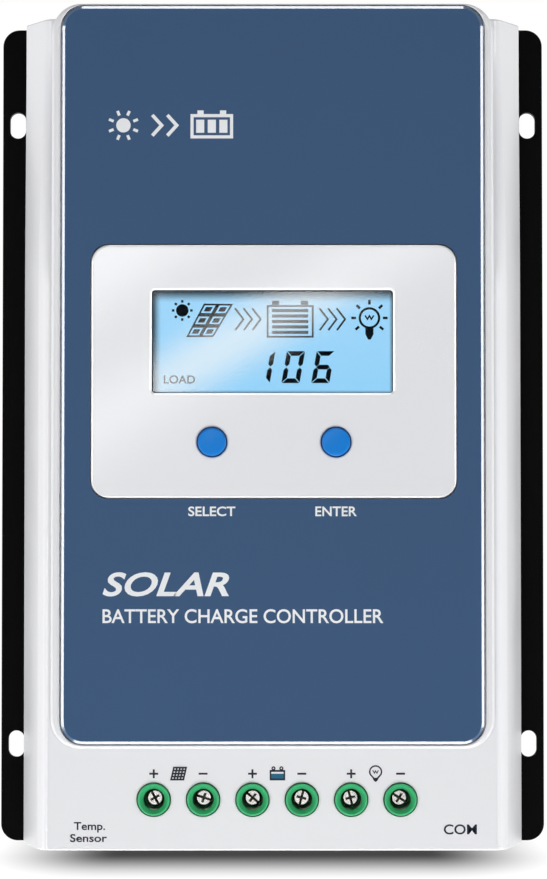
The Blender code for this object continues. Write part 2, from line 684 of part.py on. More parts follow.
def make_inductor():
    """Toroid lying on the main board with a copper wire wound round its ring."""
    x = 0.030
    z = 0.035
    inner = 0.0105
    outer = 0.0180
    front = -0.0380
    back = -0.0258
    chamfer = 0.0010
    profile = (
        (inner, front + chamfer),
        (inner + chamfer, front),
        (outer - chamfer, front),
        (outer, front + chamfer),
        (outer, back - chamfer),
        (outer - chamfer, back),
        (inner + chamfer, back),
        (inner, back - chamfer),
        (inner, front + chamfer),
    )
    turned("inductor_core", profile, x, z, 24, FERRITE)

    turns = 14
    points_per_turn = 8
    wire = 0.0007
    clear = wire + GAP + 0.0002
    cut = 0.0012
    section = (
        (outer + clear, back + clear - cut),
        (outer + clear - cut, back + clear),
        (inner - clear + cut, back + clear),
        (inner - clear, back + clear - cut),
        (inner - clear, front - clear + cut),
        (inner - clear + cut, front - clear),
        (outer + clear - cut, front - clear),
        (outer + clear, front - clear + cut),
    )
    curve = bpy.data.curves.new("inductor_winding", "CURVE")
    curve.dimensions = "3D"
    curve.bevel_depth = wire
    curve.bevel_resolution = 1
    curve.use_fill_caps = True
    spline = curve.splines.new("POLY")
    count = turns * points_per_turn + 1
    spline.points.add(count - 1)
    sweep = math.radians(300.0)
    for index in range(count):
        angle = sweep * index / (count - 1)
        radius, y = section[index % points_per_turn]
        spline.points[index].co = (x + radius * math.cos(angle), y, z + radius * math.sin(angle), 1.0)
    obj = bpy.data.objects.new("inductor_winding", curve)
    curve.materials.append(COPPER)
    PARTS.objects.link(obj)


def make_capacitors():
    radius = 0.0080
    front = -0.0490
    back = MAIN_BOARD_Y[0] - GAP
    chamfer = 0.0008
    profile = (
        (0.0, front),
        (radius - chamfer, front),
        (radius, front + chamfer),
        (radius, back),
        (0.0, back),
    )
    for number in range(3):
        turned(f"capacitor_{number + 1}", profile, -0.045 + 0.019 * number, 0.065, 20, CAPACITOR_SLEEVE)


def make_transistors():
    """Power transistors lie on an insulating pad against the heat sink, under the main board."""
    pad_front = PLATE_FRONT_Y - GAP - 0.0005
    box("thermal_pad", (-0.030, pad_front, -0.060), (0.030, PLATE_FRONT_Y - GAP, -0.036), THERMAL_PAD)
    tab_back = pad_front - GAP
    for number in range(3):
        x = -0.018 + 0.018 * number
        body = box(
            f"transistor_{number + 1}", (x - 0.005, tab_back - 0.0043, -0.055), (x + 0.005, tab_back, -0.046),
            EPOXY_BLACK,
        )
        tab = box(f"tab_{number}", (x - 0.005, tab_back - 0.0013, -0.047), (x + 0.005, tab_back, -0.0395))
        boolean(body, tab, "UNION")
        boolean(body, rod(f"tab_hole_{number}", x, -0.0425, 0.0017, -0.020, -0.015, 12))
        for lead in (-1, 0, 1):
            lead_x = x + lead * 0.00254
            leg = box(
                f"leg_{number}_{lead}", (lead_x - 0.0004, tab_back - 0.0026, -0.0595),
                (lead_x + 0.0004, tab_back - 0.0020, -0.0545),
            )
            boolean(body, leg, "UNION")


# ---------------------------------------------------------------- fasteners
def pan_head_screw(name, x, z, head_y, tip_y, mat):
    """Pan head at one end, shank to the other; head_y holds the head's outer and under sides."""
    outer, under = head_y
    rounding = 0.0006 if under > outer else -0.0006
    profile = [
        (0.0, outer),
        (M3_HEAD_RADIUS - 0.0008, outer),
        (M3_HEAD_RADIUS, outer + rounding),
        (M3_HEAD_RADIUS, under),
        (M3_RADIUS, under),
        (M3_RADIUS, tip_y),
        (0.0, tip_y),
    ]
    if under < outer:
        profile.reverse()
    screw = turned(name, profile, x, z, 16, mat)
    depth = outer + 1.6 * rounding
    low_y = min(outer - 2 * rounding, depth)
    high_y = max(outer - 2 * rounding, depth)
    for label, half_x, half_z in (("slot", 0.0014, 0.00035), ("cross", 0.00035, 0.0014)):
        recess = box(f"{name}_{label}", (x - half_x, low_y, z - half_z), (x + half_x, high_y, z + half_z))
        boolean(screw, recess)


def make_fasteners():
    number = 0
    for side in (-1, 1):
        for z in COVER_SCREW_Z:
            number += 1
            head = (PLATE_BACK_Y + GAP + 0.0020, PLATE_BACK_Y + GAP)
            pan_head_screw(f"cover_screw_{number}", side * COVER_SCREW_X, z, head, -0.0240, ZINC)
    number = 0
    for side in (-1, 1):
        for z in BOARD_SCREW_Z:
            number += 1
            x = side * BOARD_SCREW_X
            standoff_y = (MAIN_BOARD_Y[1] + GAP, PLATE_FRONT_Y - GAP)
            standoff = rod(f"board_standoff_{number}", x, z, 0.0030, standoff_y[0], standoff_y[1], 6, BRASS)
            boolean(standoff, rod(f"standoff_hole_{number}", x, z, M3_HOLE_RADIUS, -0.026, -0.014, 12))
            head = (MAIN_BOARD_Y[0] - GAP - 0.0020, MAIN_BOARD_Y[0] - GAP)
            pan_head_screw(f"board_screw_{number}", x, z, head, -0.0130, ZINC)


make_heat_sink()
make_housing()
make_fascia_panel()
make_display()
make_buttons()
make_display_cable()
make_terminals()
make_com_socket()
make_sensor_socket()
make_main_board()
make_inductor()
make_capacitors()
make_transistors()
make_fasteners()
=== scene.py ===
import math

import bmesh
import bpy
from mathutils import Matrix, Vector


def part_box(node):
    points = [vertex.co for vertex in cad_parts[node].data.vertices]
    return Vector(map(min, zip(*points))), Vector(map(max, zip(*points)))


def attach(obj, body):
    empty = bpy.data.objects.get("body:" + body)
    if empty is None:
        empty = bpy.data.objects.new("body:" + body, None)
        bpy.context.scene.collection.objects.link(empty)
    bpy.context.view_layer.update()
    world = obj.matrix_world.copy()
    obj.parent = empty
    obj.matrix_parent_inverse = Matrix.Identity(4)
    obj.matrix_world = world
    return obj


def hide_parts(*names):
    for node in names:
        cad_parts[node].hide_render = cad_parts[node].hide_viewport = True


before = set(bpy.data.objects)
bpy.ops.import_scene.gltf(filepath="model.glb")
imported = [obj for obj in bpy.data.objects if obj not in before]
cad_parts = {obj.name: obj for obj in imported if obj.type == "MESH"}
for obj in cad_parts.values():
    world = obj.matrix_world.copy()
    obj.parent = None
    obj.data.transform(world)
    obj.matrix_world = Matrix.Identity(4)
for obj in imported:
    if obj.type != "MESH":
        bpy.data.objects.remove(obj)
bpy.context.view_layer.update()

# ------------------------------------------------------------------------ heat sink extrusion
# The whole back is one length of black anodised aluminium extrusion: a base plate with the lip that the
# housing stands on, two side walls and two wall flanges. It is sawn to length, its corners are rounded
# and the four fixing slots are punched. Fine die lines run along it from top to bottom.
sink_low, sink_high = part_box("heat_sink")
flange_half_width = sink_high.x
half_height = sink_high.z
flange_thickness = 0.003
flange_corner = 0.0055
slot_centre_x = 0.085
slot_centre_z = 0.103
slot_width = 0.0053
slot_length = 0.0087
plate_back_y = -0.0100
lip_front_y = -0.0122
plate_front_y = sink_low.y
plate_half_width = 0.0780
lip_half_width = 0.0810
side_wall_inside = 0.0756
land_half_width = 0.0040
screw_hole_radius = 0.0018
cover_screw_x = 0.0710
cover_screw_z = (-0.1040, 0.1200)


def link_piece(name, mesh):
    piece = bpy.data.objects.new(name, mesh)
    bpy.context.scene.collection.objects.link(piece)
    return piece


def closed_skin(name, rings, loop=False):
    """Skin over a stack of rings with equal numbers of points, capped at both ends or joined in a loop."""
    bm = bmesh.new()
    stack = [[bm.verts.new(point) for point in ring] for ring in rings]
    pairs = list(zip(stack, stack[1:]))
    if loop:
        pairs.append((stack[-1], stack[0]))
    for lower, upper in pairs:
        for index in range(len(lower)):
            after = (index + 1) % len(lower)
            bm.faces.new((lower[index], lower[after], upper[after], upper[index]))
    if not loop:
        bm.faces.new(stack[0])
        bm.faces.new(stack[-1])
    bmesh.ops.recalc_face_normals(bm, faces=bm.faces)
    mesh = bpy.data.meshes.new(name)
    bm.to_mesh(mesh)
    bm.free()
    return link_piece(name, mesh)


def slab(name, outline_at, profile, axis="Y"):
    """A flat shape with worked edges: profile lists (inset of the outline, place along the axis)."""
    slot = "XYZ".index(axis)
    rings = []
    for inset, level in profile:
        ring = []
        for first, second in outline_at(inset):
            point = [first, second]
            point.insert(slot, level)
            ring.append(point)
        rings.append(ring)
    return closed_skin(name, rings)


def either_side(middle, reach):
    return middle - reach, middle + reach


def arc_points(x, z, radius, start, sweep, steps):
    angles = [math.radians(start + sweep * index / steps) for index in range(steps + 1)]
    return [(x + radius * math.cos(angle), z + radius * math.sin(angle)) for angle in angles]


def rounded_outline(x_range, z_range, radius, steps=8):
    """Returns a function that gives the rounded rectangle's points at any inset."""
    def outline_at(inset):
        x0 = x_range[0] + inset
        x1 = x_range[1] - inset
        z0 = z_range[0] + inset
        z1 = z_range[1] - inset
        r = max(radius - inset, 0.0001)
        corners = ((x1 - r, z1 - r, 0), (x0 + r, z1 - r, 90), (x0 + r, z0 + r, 180), (x1 - r, z0 + r, 270))
        points = []
        for centre_x, centre_z, start in corners:
            points += arc_points(centre_x, centre_z, r, start, 90, steps)
        return points
    return outline_at


def fixed_outline(points):
    return lambda inset: points


def turned(name, profile, x, z, steps=48, loop=False):
    """A turned shape about a front-to-back line through (x, z); profile lists (radius, y)."""
    rings = []
    for radius, y in profile:
        ring = []
        for index in range(steps):
            angle = 2 * math.pi * index / steps
            ring.append((x + radius * math.cos(angle), y, z + radius * math.sin(angle)))
        rings.append(ring)
    return closed_skin(name, rings, loop)


def block(name, low, high, round_edge=0.0, segments=2):
    """A moulded or cut block between two corners, with its edges rounded."""
    outline = ((low[0], low[2]), (high[0], low[2]), (high[0], high[2]), (low[0], high[2]))
    piece = slab(name, fixed_outline(outline), ((0, low[1]), (0, high[1])))
    if round_edge:
        soften(piece, round_edge, segments)
    return piece


def settle(piece):
    """Turns a piece's modifiers into plain mesh."""
    bpy.context.view_layer.update()
    shape = bpy.data.meshes.new_from_object(piece.evaluated_get(bpy.context.evaluated_depsgraph_get()))
    piece.modifiers.clear()
    piece.data = shape
    return piece


def soften(piece, width, segments=2, angle=35):
    bevel = piece.modifiers.new("soft_edges", "BEVEL")
    bevel.width = width
    bevel.segments = segments
    bevel.limit_method = "ANGLE"
    bevel.angle_limit = math.radians(angle)
    bevel.harden_normals = False
    return settle(piece)


def work(piece, operation, tools):
    """Cuts tools out of a piece, joins them to it or keeps what both share; tools are used up."""
    for tool in tools:
        step = piece.modifiers.new(tool.name, "BOOLEAN")
        step.operation = operation
        step.solver = "EXACT"
        step.object = tool
    settle(piece)
    for tool in tools:
        bpy.data.objects.remove(tool, do_unlink=True)
    return piece


def even_shading(piece, degrees=32):
    """Smooth shading with crisp edges, and flat faces kept flat beside their roundings."""
    piece.data.shade_smooth()
    piece.data.set_sharp_from_angle(angle=math.radians(degrees))
    even = piece.modifiers.new("even_normals", "WEIGHTED_NORMAL")
    even.keep_sharp = True
    even.weight = 80
    return settle(piece)


def finish_piece(piece, body, slot, material, *nodes):
    """Gives a piece its material and says which body it rides on and which CAD nodes it stands for."""
    if material is not None:
        piece.data.materials.clear()
        piece.data.materials.append(material)
    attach(piece, body)
    if nodes:
        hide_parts(*nodes)
    return piece


def wired(tree, kind, feeds=(), **settings):
    """Adds a node; feeds gives its inputs a value each, or the output that drives them."""
    node = tree.nodes.new(kind)
    for setting, value in settings.items():
        setattr(node, setting, value)
    for label, feed in dict(feeds).items():
        if isinstance(feed, bpy.types.NodeSocket):
            tree.links.new(feed, node.inputs[label])
        else:
            node.inputs[label].default_value = feed
    return node


def worked_out(tree, operation, *terms):
    """The result of an operation on numbers and outputs."""
    return wired(tree, "ShaderNodeMath", enumerate(terms), operation=operation).outputs[0]


def carried(tree, value, low, high, to_low=0.0, to_high=1.0, smooth=False):
    """A value carried from one range into another, with soft ends where that is wanted."""
    feeds = {"Value": value, "From Min": low, "From Max": high, "To Min": to_low, "To Max": to_high}
    ends = "SMOOTHSTEP" if smooth else "LINEAR"
    return wired(tree, "ShaderNodeMapRange", feeds, interpolation_type=ends).outputs["Result"]


def scaled(tree, colour, amount):
    return wired(tree, "ShaderNodeVectorMath", {0: colour, "Scale": amount}, operation="SCALE").outputs[0]


def new_sockets(tree, direction, sockets):
    for name, kind in sockets:
        tree.interface.new_socket(name=name, in_out=direction, socket_type="NodeSocket" + kind)


def surface_grain_group():
    """Shared surface detail: slow tone drift, a roughness that varies and a fine relief."""
    tree = bpy.data.node_groups.new("surface_grain", "ShaderNodeTree")
    new_sockets(tree, "INPUT", (
        ("Base", "Color"), ("Tone", "Float"), ("Stretch", "Vector"), ("Grain", "Float"),
        ("Rough Low", "Float"), ("Rough High", "Float"), ("Relief", "Float"),
    ))
    new_sockets(tree, "OUTPUT", (("Color", "Color"), ("Roughness", "Float"), ("Normal", "Vector")))
    given = wired(tree, "NodeGroupInput").outputs
    place = wired(tree, "ShaderNodeTexCoord").outputs["Object"]
    stretched = wired(
        tree, "ShaderNodeVectorMath", {0: place, 1: given["Stretch"]}, operation="MULTIPLY",
    ).outputs[0]
    drift = wired(tree, "ShaderNodeTexNoise", {"Vector": stretched, "Scale": 22, "Detail": 3}).outputs["Fac"]
    fine = wired(tree, "ShaderNodeTexNoise", {
        "Vector": stretched, "Scale": given["Grain"], "Detail": 3, "Roughness": 0.6,
    }).outputs["Fac"]
    darker = worked_out(tree, "SUBTRACT", 1, given["Tone"])
    lighter = worked_out(tree, "ADD", 1, given["Tone"])
    gain = carried(tree, drift, 0.3, 0.7, darker, lighter)
    toned = scaled(tree, given["Base"], gain)
    blend = worked_out(tree, "MULTIPLY_ADD", fine, 0.5, worked_out(tree, "MULTIPLY", drift, 0.5))
    rough = carried(tree, blend, 0.35, 0.65, given["Rough Low"], given["Rough High"])
    relief = wired(tree, "ShaderNodeBump", {"Strength": given["Relief"], "Distance": 0.0002, "Height": fine})
    wired(tree, "NodeGroupOutput", {"Color": toned, "Roughness": rough, "Normal": relief.outputs["Normal"]})
    return tree


surface_grain = surface_grain_group()


def shader_of(material):
    return material.node_tree.nodes["Principled BSDF"]


def grained(
    name, colour, roughness, tone=0.03, relief=0.1, grain=1500, stretch=(1, 1, 1), metallic=0.0, finish=(),
):
    """A material with the shared surface grain; finish gives values for the shader's other sockets."""
    material = bpy.data.materials.new(name)
    material.use_nodes = True
    shader = shader_of(material)
    shader.inputs["Metallic"].default_value = metallic
    for socket, value in dict(finish).items():
        shader.inputs[socket].default_value = value
    surface = wired(material.node_tree, "ShaderNodeGroup", {
        "Base": (*colour, 1), "Tone": tone, "Stretch": stretch, "Grain": grain,
        "Rough Low": roughness[0], "Rough High": roughness[1], "Relief": relief,
    }, name="grain", node_tree=surface_grain)
    for result, socket in (("Color", "Base Color"), ("Roughness", "Roughness"), ("Normal", "Normal")):
        material.node_tree.links.new(surface.outputs[result], shader.inputs[socket])
    return material


black_anodised = grained(
    "black_anodised_extrusion", (0.0012, 0.0012, 0.0014), (0.34, 0.50), tone=0.25, relief=0.35,
    grain=2600, stretch=(1, 1, 0.015), finish={"Specular IOR Level": 0.10},
)

sink_half = [
    (plate_half_width, plate_front_y), (plate_half_width, lip_front_y), (lip_half_width, lip_front_y),
    (lip_half_width, plate_back_y), (plate_half_width, plate_back_y), (plate_half_width, -flange_thickness),
    (flange_half_width + 0.001, -flange_thickness), (flange_half_width + 0.001, 0), (side_wall_inside, 0),
    (side_wall_inside, plate_back_y), (land_half_width, plate_back_y), (land_half_width, 0),
]
sink_section = sink_half + [(-x, y) for x, y in reversed(sink_half)]
saw_allowance = 0.001
end_step_reach = 0.0029
end_step_half_width = 0.0790
extrusion = slab(
    "heat_sink_extrusion", fixed_outline(sink_section),
    ((0, -half_height - saw_allowance), (0, half_height + saw_allowance)), "Z",
)
sawn = slab(
    "sawn_outline",
    rounded_outline((-flange_half_width, flange_half_width), (-half_height, half_height), flange_corner, 10),
    ((0, -0.030), (0, 0.010)),
)
work(extrusion, "INTERSECT", [sawn])
punches = []
for side in (-1, 1):
    for level in (-1, 1):
        slot_outline = rounded_outline(
            either_side(side * slot_centre_x, slot_width / 2),
            either_side(level * slot_centre_z, slot_length / 2), slot_width / 2 - 0.00001, 10,
        )
        punches.append(slab(f"punch_{side}_{level}", slot_outline, ((0, -0.006), (0, 0.003))))
    for z in cover_screw_z:
        drill = ((screw_hole_radius, -0.020), (screw_hole_radius, -0.008))
        punches.append(turned(f"drill_{side}_{z}", drill, side * cover_screw_x, z, 24))
    end_from = side * (half_height - end_step_reach)
    end_to = side * (half_height + 0.005)
    step_low = (-end_step_half_width, -0.020, min(end_from, end_to))
    step_high = (end_step_half_width, lip_front_y, max(end_from, end_to))
    punches.append(block(f"end_step_{side}", step_low, step_high))
work(extrusion, "DIFFERENCE", punches)
soften(extrusion, 0.00035, 2)
even_shading(extrusion)
finish_piece(extrusion, "controller", "black_anodised", black_anodised, "heat_sink")

# ------------------------------------------------------------------------ cooling fins
# Fourteen straight fins stand on the back of the base plate in two groups beside the middle land. They
# are drawn out of the same die as the plate, and each has a rounded tip.
fins_each_side = 7
fin_pitch = 0.009
fin_thickness = 0.0018
fin_tip_y = -0.0006
fin_tip_roundness = 0.45


def grown_piece(name, tree, values):
    """Runs a tree with the given inputs and keeps the result as a plain mesh piece."""
    piece = link_piece(name, bpy.data.meshes.new(name))
    modifier = piece.modifiers.new("grown", "NODES")
    modifier.node_group = tree
    for item in tree.interface.items_tree:
        if item.in_out == "INPUT" and item.name in values:
            modifier[item.identifier] = values[item.name]
    return settle(piece)


def joined(tree, *shapes):
    join = wired(tree, "GeometryNodeJoinGeometry")
    for shape in shapes:
        tree.links.new(shape, join.inputs[0])
    return join.outputs[0]


def fin_tree():
    """One fin is filled, drawn out and closed, then stood on two rows of points beside the land."""
    tree = bpy.data.node_groups.new("fin_rows", "GeometryNodeTree")
    new_sockets(tree, "OUTPUT", (("Geometry", "Geometry"),))
    new_sockets(tree, "INPUT", (
        ("Count", "Int"), ("Pitch", "Float"), ("Thickness", "Float"), ("Depth", "Float"), ("Length", "Float"),
        ("Root", "Float"), ("Material", "Material"),
    ))
    given = wired(tree, "NodeGroupInput").outputs
    outline = wired(tree, "GeometryNodeCurvePrimitiveQuadrilateral", {
        "Width": given["Thickness"], "Height": given["Depth"],
    })
    tip_radius = worked_out(tree, "MULTIPLY", given["Thickness"], fin_tip_roundness)
    rounded = wired(tree, "GeometryNodeFilletCurve", {
        "Curve": outline.outputs["Curve"], "Radius": tip_radius, "Count": 4,
    }, mode="POLY")
    filled = wired(tree, "GeometryNodeFillCurve", {"Curve": rounded.outputs["Curve"]}, mode="NGONS")
    section = filled.outputs["Mesh"]
    drawn = wired(tree, "GeometryNodeExtrudeMesh", {
        "Mesh": section, "Offset Scale": given["Length"], "Individual": False,
    })
    turned_over = wired(tree, "GeometryNodeFlipFaces", {"Mesh": section})
    welded = wired(tree, "GeometryNodeMergeByDistance", {
        "Geometry": joined(tree, drawn.outputs["Mesh"], turned_over.outputs["Mesh"]), "Distance": 0.000001,
    })
    rows = []
    for side in (-1, 1):
        step = worked_out(tree, "MULTIPLY", given["Pitch"], side)
        along = wired(tree, "ShaderNodeCombineXYZ", {"X": step})
        first = wired(tree, "ShaderNodeCombineXYZ", {"X": step, "Y": given["Root"]})
        row = wired(tree, "GeometryNodeMeshLine", {
            "Count": given["Count"], "Start Location": first.outputs[0], "Offset": along.outputs[0],
        }, mode="OFFSET")
        rows.append(row.outputs["Mesh"])
    stood = wired(tree, "GeometryNodeInstanceOnPoints", {
        "Points": joined(tree, *rows), "Instance": welded.outputs["Geometry"],
    })
    real = wired(tree, "GeometryNodeRealizeInstances", {"Geometry": stood.outputs["Instances"]})
    painted = wired(tree, "GeometryNodeSetMaterial", {
        "Geometry": real.outputs["Geometry"], "Material": given["Material"],
    })
    wired(tree, "NodeGroupOutput", {"Geometry": painted.outputs["Geometry"]})
    return tree


fin_root_y = plate_back_y - 0.0004
fin_depth = fin_tip_y - fin_root_y
fins = grown_piece("heat_sink_fins", fin_tree(), {
    "Count": fins_each_side, "Pitch": fin_pitch, "Thickness": fin_thickness, "Depth": fin_depth,
    "Length": 2 * half_height, "Root": (fin_root_y + fin_tip_y) / 2, "Material": black_anodised,
})
fins.data.transform(Matrix.Translation((0, 0, -half_height)))
even_shading(fins)
finish_piece(fins, "controller", "black_anodised", None)

# ------------------------------------------------------------------------ cover screws
# Four nickel plated pan head screws pass through the base plate from behind and bite into bosses of the
# housing. Each head is cold formed with a cross recess.
nickel = grained(
    "nickel_plate", (0.66, 0.65, 0.62), (0.14, 0.24), tone=0.05, relief=0.03, grain=2200, metallic=1.0,
)


def cross_cutters(name, x, z, surface_y, depth, arm, width, angle, slot=None):
    """V-shaped blades of a cross recess, and of a longer slot across it where one is wanted."""
    cutters = []
    blades = [(arm, width, angle), (arm, width, angle + 90)]
    if slot:
        blades.append((*slot, angle))
    outside = surface_y - math.copysign(0.001, depth)
    for number, (reach, thickness, turn) in enumerate(blades):
        half = thickness / 2
        section = (
            (outside, -half), (outside, half), (surface_y, half), (surface_y + depth, 0), (surface_y, -half),
        )
        rings = [[(end, y, across) for y, across in section] for end in (-reach, reach)]
        blade = closed_skin(f"{name}_blade_{number}", rings)
        blade.data.transform(Matrix.Translation((x, 0, z)) @ Matrix.Rotation(math.radians(turn), 4, "Y"))
        cutters.append(blade)
    return cutters


for number in range(1, 5):
    node = f"cover_screw_{number}"
    screw_low, screw_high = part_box(node)
    screw_x = (screw_low.x + screw_high.x) / 2
    screw_z = (screw_low.z + screw_high.z) / 2
    head_radius = (screw_high.x - screw_low.x) / 2
    head_y = screw_high.y
    cover_screw = turned(f"cover_screw_shape_{number}", (
        (0.0002, head_y), (head_radius * 0.62, head_y - 0.0001), (head_radius * 0.90, head_y - 0.0005),
        (head_radius, head_y - 0.0011), (head_radius, head_y - 0.0018), (0.0015, head_y - 0.0018),
        (0.0015, screw_low.y + 0.0006), (0.0009, screw_low.y), (0.0002, screw_low.y),
    ), screw_x, screw_z)
    recess = cross_cutters(node, screw_x, screw_z, head_y, -0.0010, 0.0014, 0.0007, 23 * number)
    work(cover_screw, "DIFFERENCE", recess)
    even_shading(cover_screw)
    finish_piece(cover_screw, "controller", "nickel", nickel, node)

# ------------------------------------------------------------------------ housing
# One injection moulding in satin white ABS: shoulders that lean in and sweep back towards the top, a
# raised rim round the front panel and a terminal deck below it. It is moulded hollow with its screw
# bosses, and its bottom wall has a window for each wire and each plug.
housing_back_y = -0.0125
housing_half_width = 0.0815
housing_lean = 0.0080
wall = 0.0025
shoulder_top_y = -0.0300
terminal_face_y = -0.0614
rim_y = -0.0622
sweep_start_z = 0.045
sweep_end_z = 0.125
shoulder_half_height = 0.1349
panel_half_width = 0.0705
panel_bottom_z = -0.1028
panel_corner = 0.0095
panel_cavity_front_y = -0.0585
cavity_back_y = -0.0110
end_round = 0.0007
pocket_floor_y = -0.0605
clearance = 0.0003
past_front_y = -0.070
past_bottom_z = -0.1400
bottom_z = -0.1350
boss_radius = 0.00375
pilot_radius = 0.0018
display_pin_x = 0.0550
display_pin_z = (-0.0260, 0.0530)
button_hole_clear_radius = 0.0062
collar_hole_radius = 0.00545
display_opening_x = 0.0412
display_opening_z = (0.0074, 0.0459)
wire_window_half_width = 0.0050
wire_window_y = (-0.0360, -0.0250)
fascia_gap = 0.0007
fascia_x = (-0.0671, 0.0672)
fascia_z = (-0.1013, 0.1341)
fascia_corner = 0.007
button_z = -0.0054
button_x = {"select": -0.0193, "enter": 0.0202}
terminal_z = -0.1189
terminal_pitch = 0.01566
terminal_x = [0.00145 + (index - 2.5) * terminal_pitch for index in range(6)]
com_x = 0.0595
sensor_x = -0.0586

white_plastic = grained(
    "white_satin_abs", (0.815, 0.820, 0.843), (0.18, 0.26), tone=0.010, relief=0.03, grain=3500,
)


def shoulder_front(z, inset):
    share = min(max((z - sweep_start_z) / (sweep_end_z - sweep_start_z), 0.0), 1.0)
    smooth = share * share * (3 - 2 * share)
    return terminal_face_y + (shoulder_top_y - terminal_face_y) * smooth + inset


def shoulder_section(z, inset, back_y, steps=12):
    """One level of the housing: upright at the back, leaning in, then rounding over to the front."""
    front = shoulder_front(z, inset)
    half_width = housing_half_width - inset
    depth = front - housing_back_y
    right = [(half_width, back_y), (half_width, housing_back_y + 0.15 * depth)]
    start = Vector((half_width - 0.80 * housing_lean, housing_back_y + 0.86 * depth))
    corner = Vector((half_width - housing_lean, front))
    end = Vector((half_width - 1.35 * housing_lean, front))
    for index in range(steps + 1):
        t = index / steps
        point = start * (1 - t) ** 2 + corner * (2 * t * (1 - t)) + end * t ** 2
        right.append((point.x, point.y))
    return right + [(-x, y) for x, y in reversed(right)]


def shoulder_loft(name, inset, back_y, rounding):
    """The shape of the shoulders at an inset, with its bottom and top ends rounded where asked."""
    bottom = -half_height + inset
    top = shoulder_half_height - inset
    roundings = [(0, 0)]
    if rounding:
        angles = [math.radians(22.5 * index) for index in range(5)]
        roundings = [(rounding * (1 - math.sin(angle)), rounding * (1 - math.cos(angle))) for angle in angles]
    sweep_levels = 44
    levels = [(bottom + rise, extra) for rise, extra in reversed(roundings)]
    for index in range(sweep_levels + 1):
        levels.append((sweep_start_z + (sweep_end_z - sweep_start_z) * index / sweep_levels, 0))
    levels += [(top - rise, extra) for rise, extra in roundings]
    rings = []
    for z, extra in levels:
        rings.append([(x, y, z) for x, y in shoulder_section(z, inset + extra, back_y)])
    return closed_skin(name, rings)


panel_outline = rounded_outline(
    (-panel_half_width, panel_half_width), (panel_bottom_z, half_height), panel_corner, 12,
)
housing = shoulder_loft("housing_moulding", 0.0, housing_back_y, end_round)
rim_block = slab("rim_block", panel_outline, (
    (0, housing_back_y - wall), (0, terminal_face_y), (0.0005, -0.06195), (0.0008, -0.0621), (0.0013, rim_y),
))
work(housing, "UNION", [rim_block])
cavity_outline = rounded_outline(
    (-panel_half_width + wall, panel_half_width - wall), (panel_bottom_z + wall, half_height - wall),
    panel_corner - wall,
)
cutters = [
    shoulder_loft("shoulder_cavity", wall, cavity_back_y, 0.0),
    slab("panel_cavity", cavity_outline, ((0, cavity_back_y - clearance), (0, panel_cavity_front_y))),
]
pocket_outline = rounded_outline(
    (fascia_x[0] - fascia_gap, fascia_x[1] + fascia_gap), (fascia_z[0] - 0.0004, fascia_z[1] + 0.0005),
    fascia_corner + fascia_gap, 12,
)
cutters.append(slab("fascia_pocket", pocket_outline, (
    (-0.0005, past_front_y), (-0.0005, rim_y), (0, rim_y + 0.00031), (0, pocket_floor_y),
)))
cutters.append(block(
    "display_opening", (-display_opening_x, past_front_y, display_opening_z[0]),
    (display_opening_x, -0.050, display_opening_z[1]),
))
for name, x in button_x.items():
    way = ((button_hole_clear_radius, past_front_y), (button_hole_clear_radius, -0.050))
    cutters.append(turned(f"{name}_clearance", way, x, button_z))
for number, x in enumerate(terminal_x):
    cutters.append(turned(f"collar_hole_{number}", (
        (collar_hole_radius + 0.0001, past_front_y), (collar_hole_radius + 0.0001, terminal_face_y),
        (collar_hole_radius, terminal_face_y + 0.0001), (collar_hole_radius, -0.0575),
    ), x, terminal_z, 64))
    window_outline = rounded_outline(either_side(x, wire_window_half_width), wire_window_y, 0.0018)
    cutters.append(slab(f"wire_window_{number}", window_outline, (
        (-0.0005, past_bottom_z), (-0.0005, bottom_z), (0, bottom_z + 0.0005), (0, bottom_z + 0.0045),
    ), "Z"))
for name, x, reach, front in (("com", com_x, 0.0084, -0.0378), ("sensor", sensor_x, 0.0062, -0.0338)):
    hole_outline = rounded_outline(either_side(x, reach), (front, -0.0235), 0.0003, 3)
    cutters.append(slab(f"{name}_hole", hole_outline, (
        (-0.0003, past_bottom_z), (-0.0003, bottom_z), (0, bottom_z + 0.0003), (0, bottom_z + 0.0050),
    ), "Z"))
work(housing, "DIFFERENCE", cutters)
posts = []
pilots = []
for side in (-1, 1):
    for z in cover_screw_z:
        boss = ((boss_radius, shoulder_front(z, 0.0010)), (boss_radius, -0.0163))
        post = turned(f"boss_{side}_{z}", boss, side * cover_screw_x, z, 32)
        work(post, "INTERSECT", [shoulder_loft(f"boss_limit_{side}_{z}", 0.0004, housing_back_y, 0.0)])
        posts.append(post)
        pilot = ((pilot_radius, -0.0245), (pilot_radius, -0.0100))
        pilots.append(turned(f"pilot_{side}_{z}", pilot, side * cover_screw_x, z, 24))
    for z in display_pin_z:
        pin = ((0.0015, -0.0590), (0.0015, -0.0512), (0.0011, -0.0508))
        posts.append(turned(f"display_pin_{side}_{z}", pin, side * display_pin_x, z, 24))
work(housing, "UNION", posts)
work(housing, "DIFFERENCE", pilots)
even_shading(housing, 38)
finish_piece(housing, "controller", "white_plastic", white_plastic, "housing")

# ------------------------------------------------------------------------ front plate
# A blue lacquered plate is glued into the recess of the housing. Its edge is milled to a narrow polished
# bevel, given a lighter blue that partly paints its highlight, and it is pierced for the display bezel.
# The white words and pictograms are screen printed.
fascia_front_y = -0.0626
fascia_bevel = 0.0008
bevel_depth = 0.0004
bezel_gap = 0.00045
bezel_x = (-0.0576, 0.0584)
bezel_z = (-0.0231, 0.05735)
bezel_corner = 0.0055

